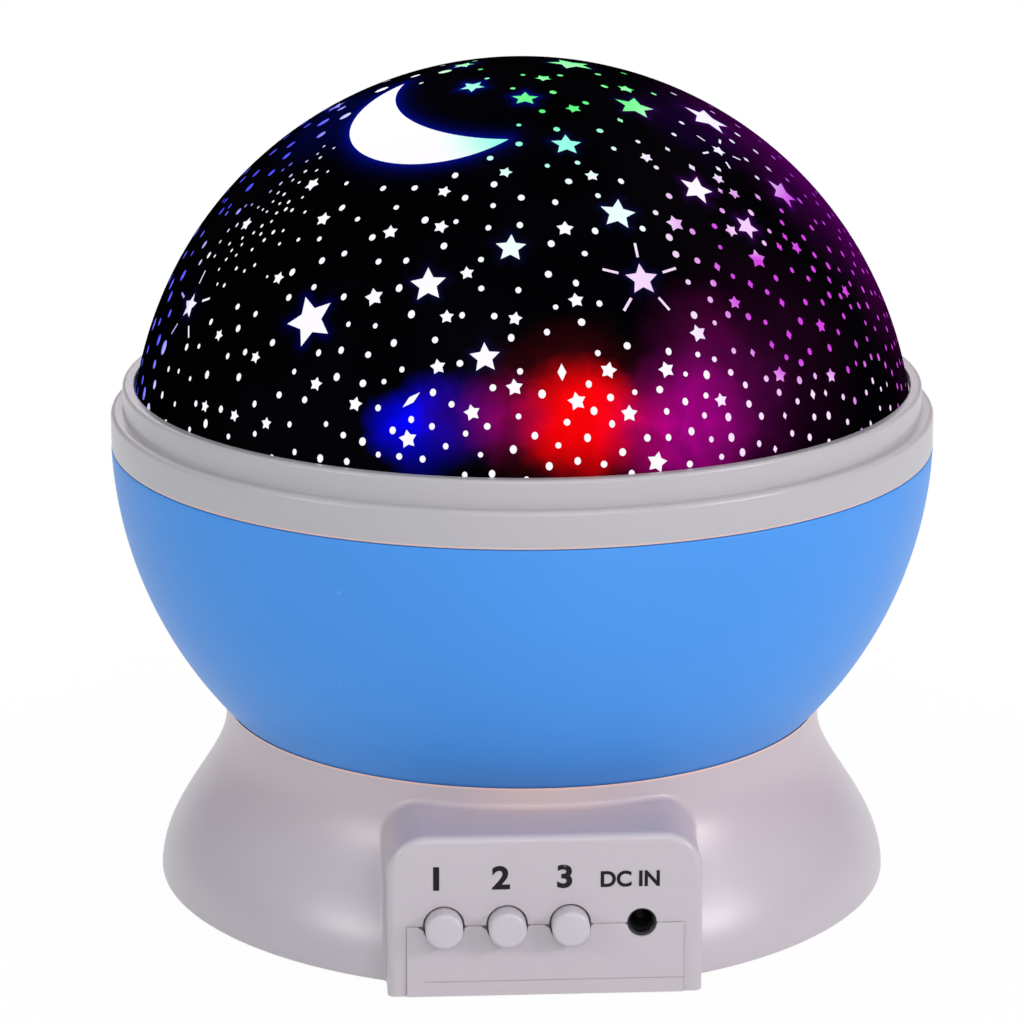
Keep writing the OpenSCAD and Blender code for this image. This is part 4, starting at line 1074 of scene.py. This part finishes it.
def inkPlane(outlines):
    # the ball's ink as a flat plan: points, fixed edges and holes, with more points around the glowing figures
    ball = dome["radius"]
    points, edges, holes = [], [], []

    def addLoop(loop):
        first, count = len(points), len(loop)
        points.extend(loop)
        edges.extend((first + i, first + (i + 1) % count) for i in range(count))
        return list(range(first, first + count))

    rimHeight = (dome["inkLow"] - dome["centre"]) / ball
    rimReach = math.sqrt(1 - rimHeight ** 2) / (1 + rimHeight)
    rim = [2 * math.pi * k / inkGrid["rim"] for k in range(inkGrid["rim"])]
    addLoop([Vector((rimReach * math.cos(a), rimReach * math.sin(a))) for a in rim])
    for outline, glow in outlines:
        holes.append(addLoop([flatten(p) for p in outline]))
    taken = np.array([tuple(p) for p in points])

    def gapTo(flat):
        return np.abs(taken - np.array(tuple(flat))).sum(axis=1).min()

    for outline, glow in outlines:
        for away in inkGrid["rings"] if glow else ():
            for flat in map(flatten, ringAround(finer(outline, 2), away)):
                if gapTo(flat) > inkGrid["ringGap"] / ball and flat.length < rimReach * inkGrid["ringReach"]:
                    points.append(flat)
                    taken = np.vstack([taken, tuple(flat)])
    step = math.radians(90) * ball / round(math.radians(90) * ball / inkGrid["spacing"])
    for row in range(int(math.radians(90) * ball / step)):
        polar = (row + 0.5) * step / ball
        reach = math.tan(polar / 2)
        if reach > rimReach * inkGrid["gridReach"]:
            break
        around = max(6, round(2 * math.pi * ball * math.sin(polar) / step))
        room = inkGrid["gridGap"] * step / ball * (1 + reach * reach) / 2
        for k in range(around):
            angle = 2 * math.pi * (k + 0.5 * (row % 2)) / around
            flat = Vector((reach * math.cos(angle), reach * math.sin(angle)))
            if gapTo(flat) > room:
                points.append(flat)
    return points, edges, holes, rimReach


def addRimGlow(piece, outlines):
    # how strongly each point of the ink is lit by the rim of a large figure
    rims = [(point, glow) for outline, glow in outlines if glow for point in finer(outline, 4)]
    reaches = np.array([glow for point, glow in rims])
    rims = np.array([tuple(point) for point, glow in rims])
    glow = piece.data.attributes.new("rimGlow", "FLOAT", "POINT")
    places = np.array([tuple(vert.co / mm) for vert in piece.data.vertices]) - (0, 0, dome["centre"])
    for first in range(0, len(places), 400):
        away = np.linalg.norm(places[first:first + 400, None] - rims[None], axis=2)
        for i, value in enumerate(np.exp(-inkGrid["fade"] * away / reaches).max(axis=1)):
            glow.data[first + i].value = float(value)


def makeStarMask():
    ball, lift = dome["radius"], Vector((0, 0, dome["centre"]))
    outlines = inkOutlines()
    points, edges, holes, rimReach = inkPlane(outlines)
    result = delaunay_2d_cdt(points, edges, holes, 0, 1e-9, True)
    flatPoints, triangles, owners = result[0], result[2], result[5]
    bm = bmesh.new()
    depth = (ball - dome["ink"]) / ball
    outer = [bm.verts.new(inflate(p, ball) + lift) for p in flatPoints]
    inner = [bm.verts.new(inflate(p, ball) * depth + lift) for p in flatPoints]
    used = {}
    for corners, owner in zip(triangles, owners):
        middle = sum((flatPoints[i] for i in corners), Vector((0, 0))) / len(corners)
        if owner or middle.length > rimReach:
            continue
        bm.faces.new([outer[i] for i in corners])
        bm.faces.new([inner[i] for i in reversed(corners)])
        for i, j in zip(corners, list(corners[1:]) + [corners[0]]):
            used[(i, j)] = True
    for i, j in used:
        if (j, i) not in used:
            bm.faces.new((outer[j], outer[i], inner[i], inner[j]))
    for vert in [v for v in bm.verts if not v.link_faces]:
        bm.verts.remove(vert)
    for vert in bm.verts:
        vert.co *= mm
    piece = pieceFrom("starMask", bm, 40.0)
    addRimGlow(piece, outlines)
    return piece


def makeClearDome():
    outerBall, innerBall = dome["radius"] - dome["ink"] - dome["gap"], dome["innerRadius"]
    low, centre, shoulder = dome["seat"], dome["centre"], dome["inkLow"] - dome["shoulderDrop"]
    outline = arc(centre, dome["seatRadius"], low, shoulder, 8)
    outline += arc(centre, outerBall, shoulder, centre + outerBall, 72)
    outline[-1] = (0.0, centre + outerBall)
    flangeTop = low + dome["flangeThick"]
    inside = arc(centre, innerBall, flangeTop, centre + innerBall, 60)[::-1]
    inside[0] = (0.0, centre + innerBall)
    outline += inside + [(dome["flange"], flangeTop), (dome["flange"], low)]
    return pieceFrom("clearDome", latheMesh(outline, 288))


starMask = settle(makeStarMask(), "bowl", "black_ink", "star_mask")
settle(makeClearDome(), "bowl", "clear_plastic", "clear_dome")
print("dome ready:", len(starMask.data.polygons), "faces in the ink layer")


cap = {"radius": 2.82, "round": 0.7, "flange": 3.4, "flangeThick": 1.2, "stem": 2.25}


def makeCap(letter, x):
    low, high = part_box("button_" + letter)
    front, back = low.y / mm, high.y / mm
    flangeRadius = (high.x - low.x) / 2 / mm
    flangeBack = -block["front"] + cap["flange"]
    flangeFront = flangeBack - cap["flangeThick"]
    outline = rounded([
        (0, front), (cap["radius"], front, cap["round"]), (cap["radius"], flangeFront),
        (flangeRadius, flangeFront, 0.2), (flangeRadius, flangeBack, 0.2), (cap["stem"], flangeBack),
        (cap["stem"], back), (0, back)], 8)
    return pieceFrom("buttonCap_" + letter, facingFront(latheMesh(outline, 72), x))


for letter, x in zip("abc", block["holes"]):
    settle(makeCap(letter, x), "button_" + letter, "button_plastic", "button_" + letter)

labels = {
    # text, middle, height, letter height, width factor
    "marks": [("1", -16.2, 19.0, 3.7, 1.15), ("2", -6.6, 19.0, 3.7, 1.1), ("3", 2.85, 19.0, 3.7, 1.1),
              ("DC IN", 12.6, 18.45, 2.55, 0.98)],
    "thick": 0.04, "bold": 0.03,
}


def makeLabels():
    bm = bmesh.new()
    for text, x, z, size, widen in labels["marks"]:
        curve = bpy.data.curves.new("mark", "FONT")
        curve.body = text
        curve.size = 1.0
        curve.offset = labels["bold"]
        curve.align_x = "CENTER"
        curve.extrude = 0.01
        holder = bpy.data.objects.new("mark", curve)
        scene.collection.objects.link(holder)
        bpy.context.view_layer.update()
        mesh = bpy.data.meshes.new_from_object(holder.evaluated_get(bpy.context.evaluated_depsgraph_get()))
        left, right = (f(v.co.x for v in mesh.vertices) for f in (min, max))
        low, high = (f(v.co.y for v in mesh.vertices) for f in (min, max))
        scale = size / (high - low)
        for vert in mesh.vertices:
            across = (vert.co.x - (left + right) / 2) * scale * widen + x
            up = (vert.co.y - (low + high) / 2) * scale + z
            deep = -block["front"] - labels["thick"] * (0.25 + (vert.co.z > 0))
            vert.co = Vector((across, deep, up)) * mm
        bm.from_mesh(mesh)
        bpy.data.objects.remove(holder)
        bpy.data.meshes.remove(mesh)
    bmesh.ops.remove_doubles(bm, verts=bm.verts, dist=1e-7)
    return pieceFrom("frontLabels", bm)


frontLabels = makeLabels()
settle(frontLabels, "base", "black_ink")
frontLabels.data.materials[0] = labelInk
print("buttons and labels ready")


# nodes without a piece of their own keep their shape and get their slot's finish
slotOf = {part["node"]: part["material_slot"] for part in frame["record"]["subparts"]}
for nodeName, node in cadNodes.items():
    for holder in node.material_slots:
        holder.material = look[slotOf[nodeName]]
# the socket pin gets its near-black painted shade
for holder in cadNodes["socket_pin"].material_slots:
    holder.material = pinPaintedShade
print("nodes dressed")


ground = {"size": 3.0, "height": -0.0001, "near": 0.05, "far": 0.16, "share": 0.97, "colour": (0.9, 0.9, 0.9)}
sky = {"ambient": 0.33, "bandHeight": 0.16, "bandEdge": (0.26, 0.08), "bandColour": (0.42, 0.24, 0.32)}


def shownRays(tree):
    # one for rays that reach the camera straight, by reflection or through clear parts
    seen = put(tree, "LightPath").outputs
    glossy = seen["Is Glossy Ray"]
    direct = calc(tree, "MAXIMUM", seen["Is Camera Ray"], glossy)
    return calc(tree, "MAXIMUM", direct, seen["Is Transmission Ray"]), glossy


def makeFloor():
    material = bpy.data.materials.new("paleFloor")
    tree = freshTree(material)
    away = put(tree, "VectorMath", {0: worldPlace(tree)}, operation="LENGTH").outputs["Value"]
    white = spread(tree, away, ground["near"], ground["far"], ground["share"], 1.0)
    diffuse = put(tree, "BsdfDiffuse", {"Color": rgb(*ground["colour"])})
    glow = put(tree, "Emission", {"Color": rgb(1, 1, 1), "Strength": 1.0})
    shares = times(tree, shownRays(tree)[0], white)
    mixed = put(tree, "MixShader", {0: shares, 1: diffuse.outputs[0], 2: glow.outputs[0]})
    put(tree, "OutputMaterial", {0: mixed.outputs[0]})
    bm = bmesh.new()
    bmesh.ops.create_circle(bm, cap_ends=True, radius=ground["size"], segments=96)
    bmesh.ops.translate(bm, vec=(0, 0, ground["height"]), verts=bm.verts)
    floor = pieceFrom("floor", bm)
    floor.data.materials.append(material)


def makeWorld():
    # an even white that lights little, with a dim warm band that only reflections show
    world = bpy.data.worlds.new("studio")
    tree = freshTree(world)
    shown, glossy = shownRays(tree)
    rise = put(tree, "SeparateXYZ", {0: put(tree, "TexCoord").outputs["Generated"]}).outputs[2]
    away = calc(tree, "ABSOLUTE", calc(tree, "SUBTRACT", rise, sky["bandHeight"]))
    band = times(tree, spread(tree, away, *sky["bandEdge"]), glossy)
    colour = blendColours(tree, band, rgb(1, 1, 1), rgb(*sky["bandColour"]))
    strength = spread(tree, shown, 0.0, 1.0, sky["ambient"], 1.0, "LINEAR")
    background = put(tree, "Background", {"Color": colour, "Strength": strength})
    put(tree, "OutputWorld", {0: background.outputs[0]})
    scene.world = world


makeFloor()
makeWorld()
print("stage ready")
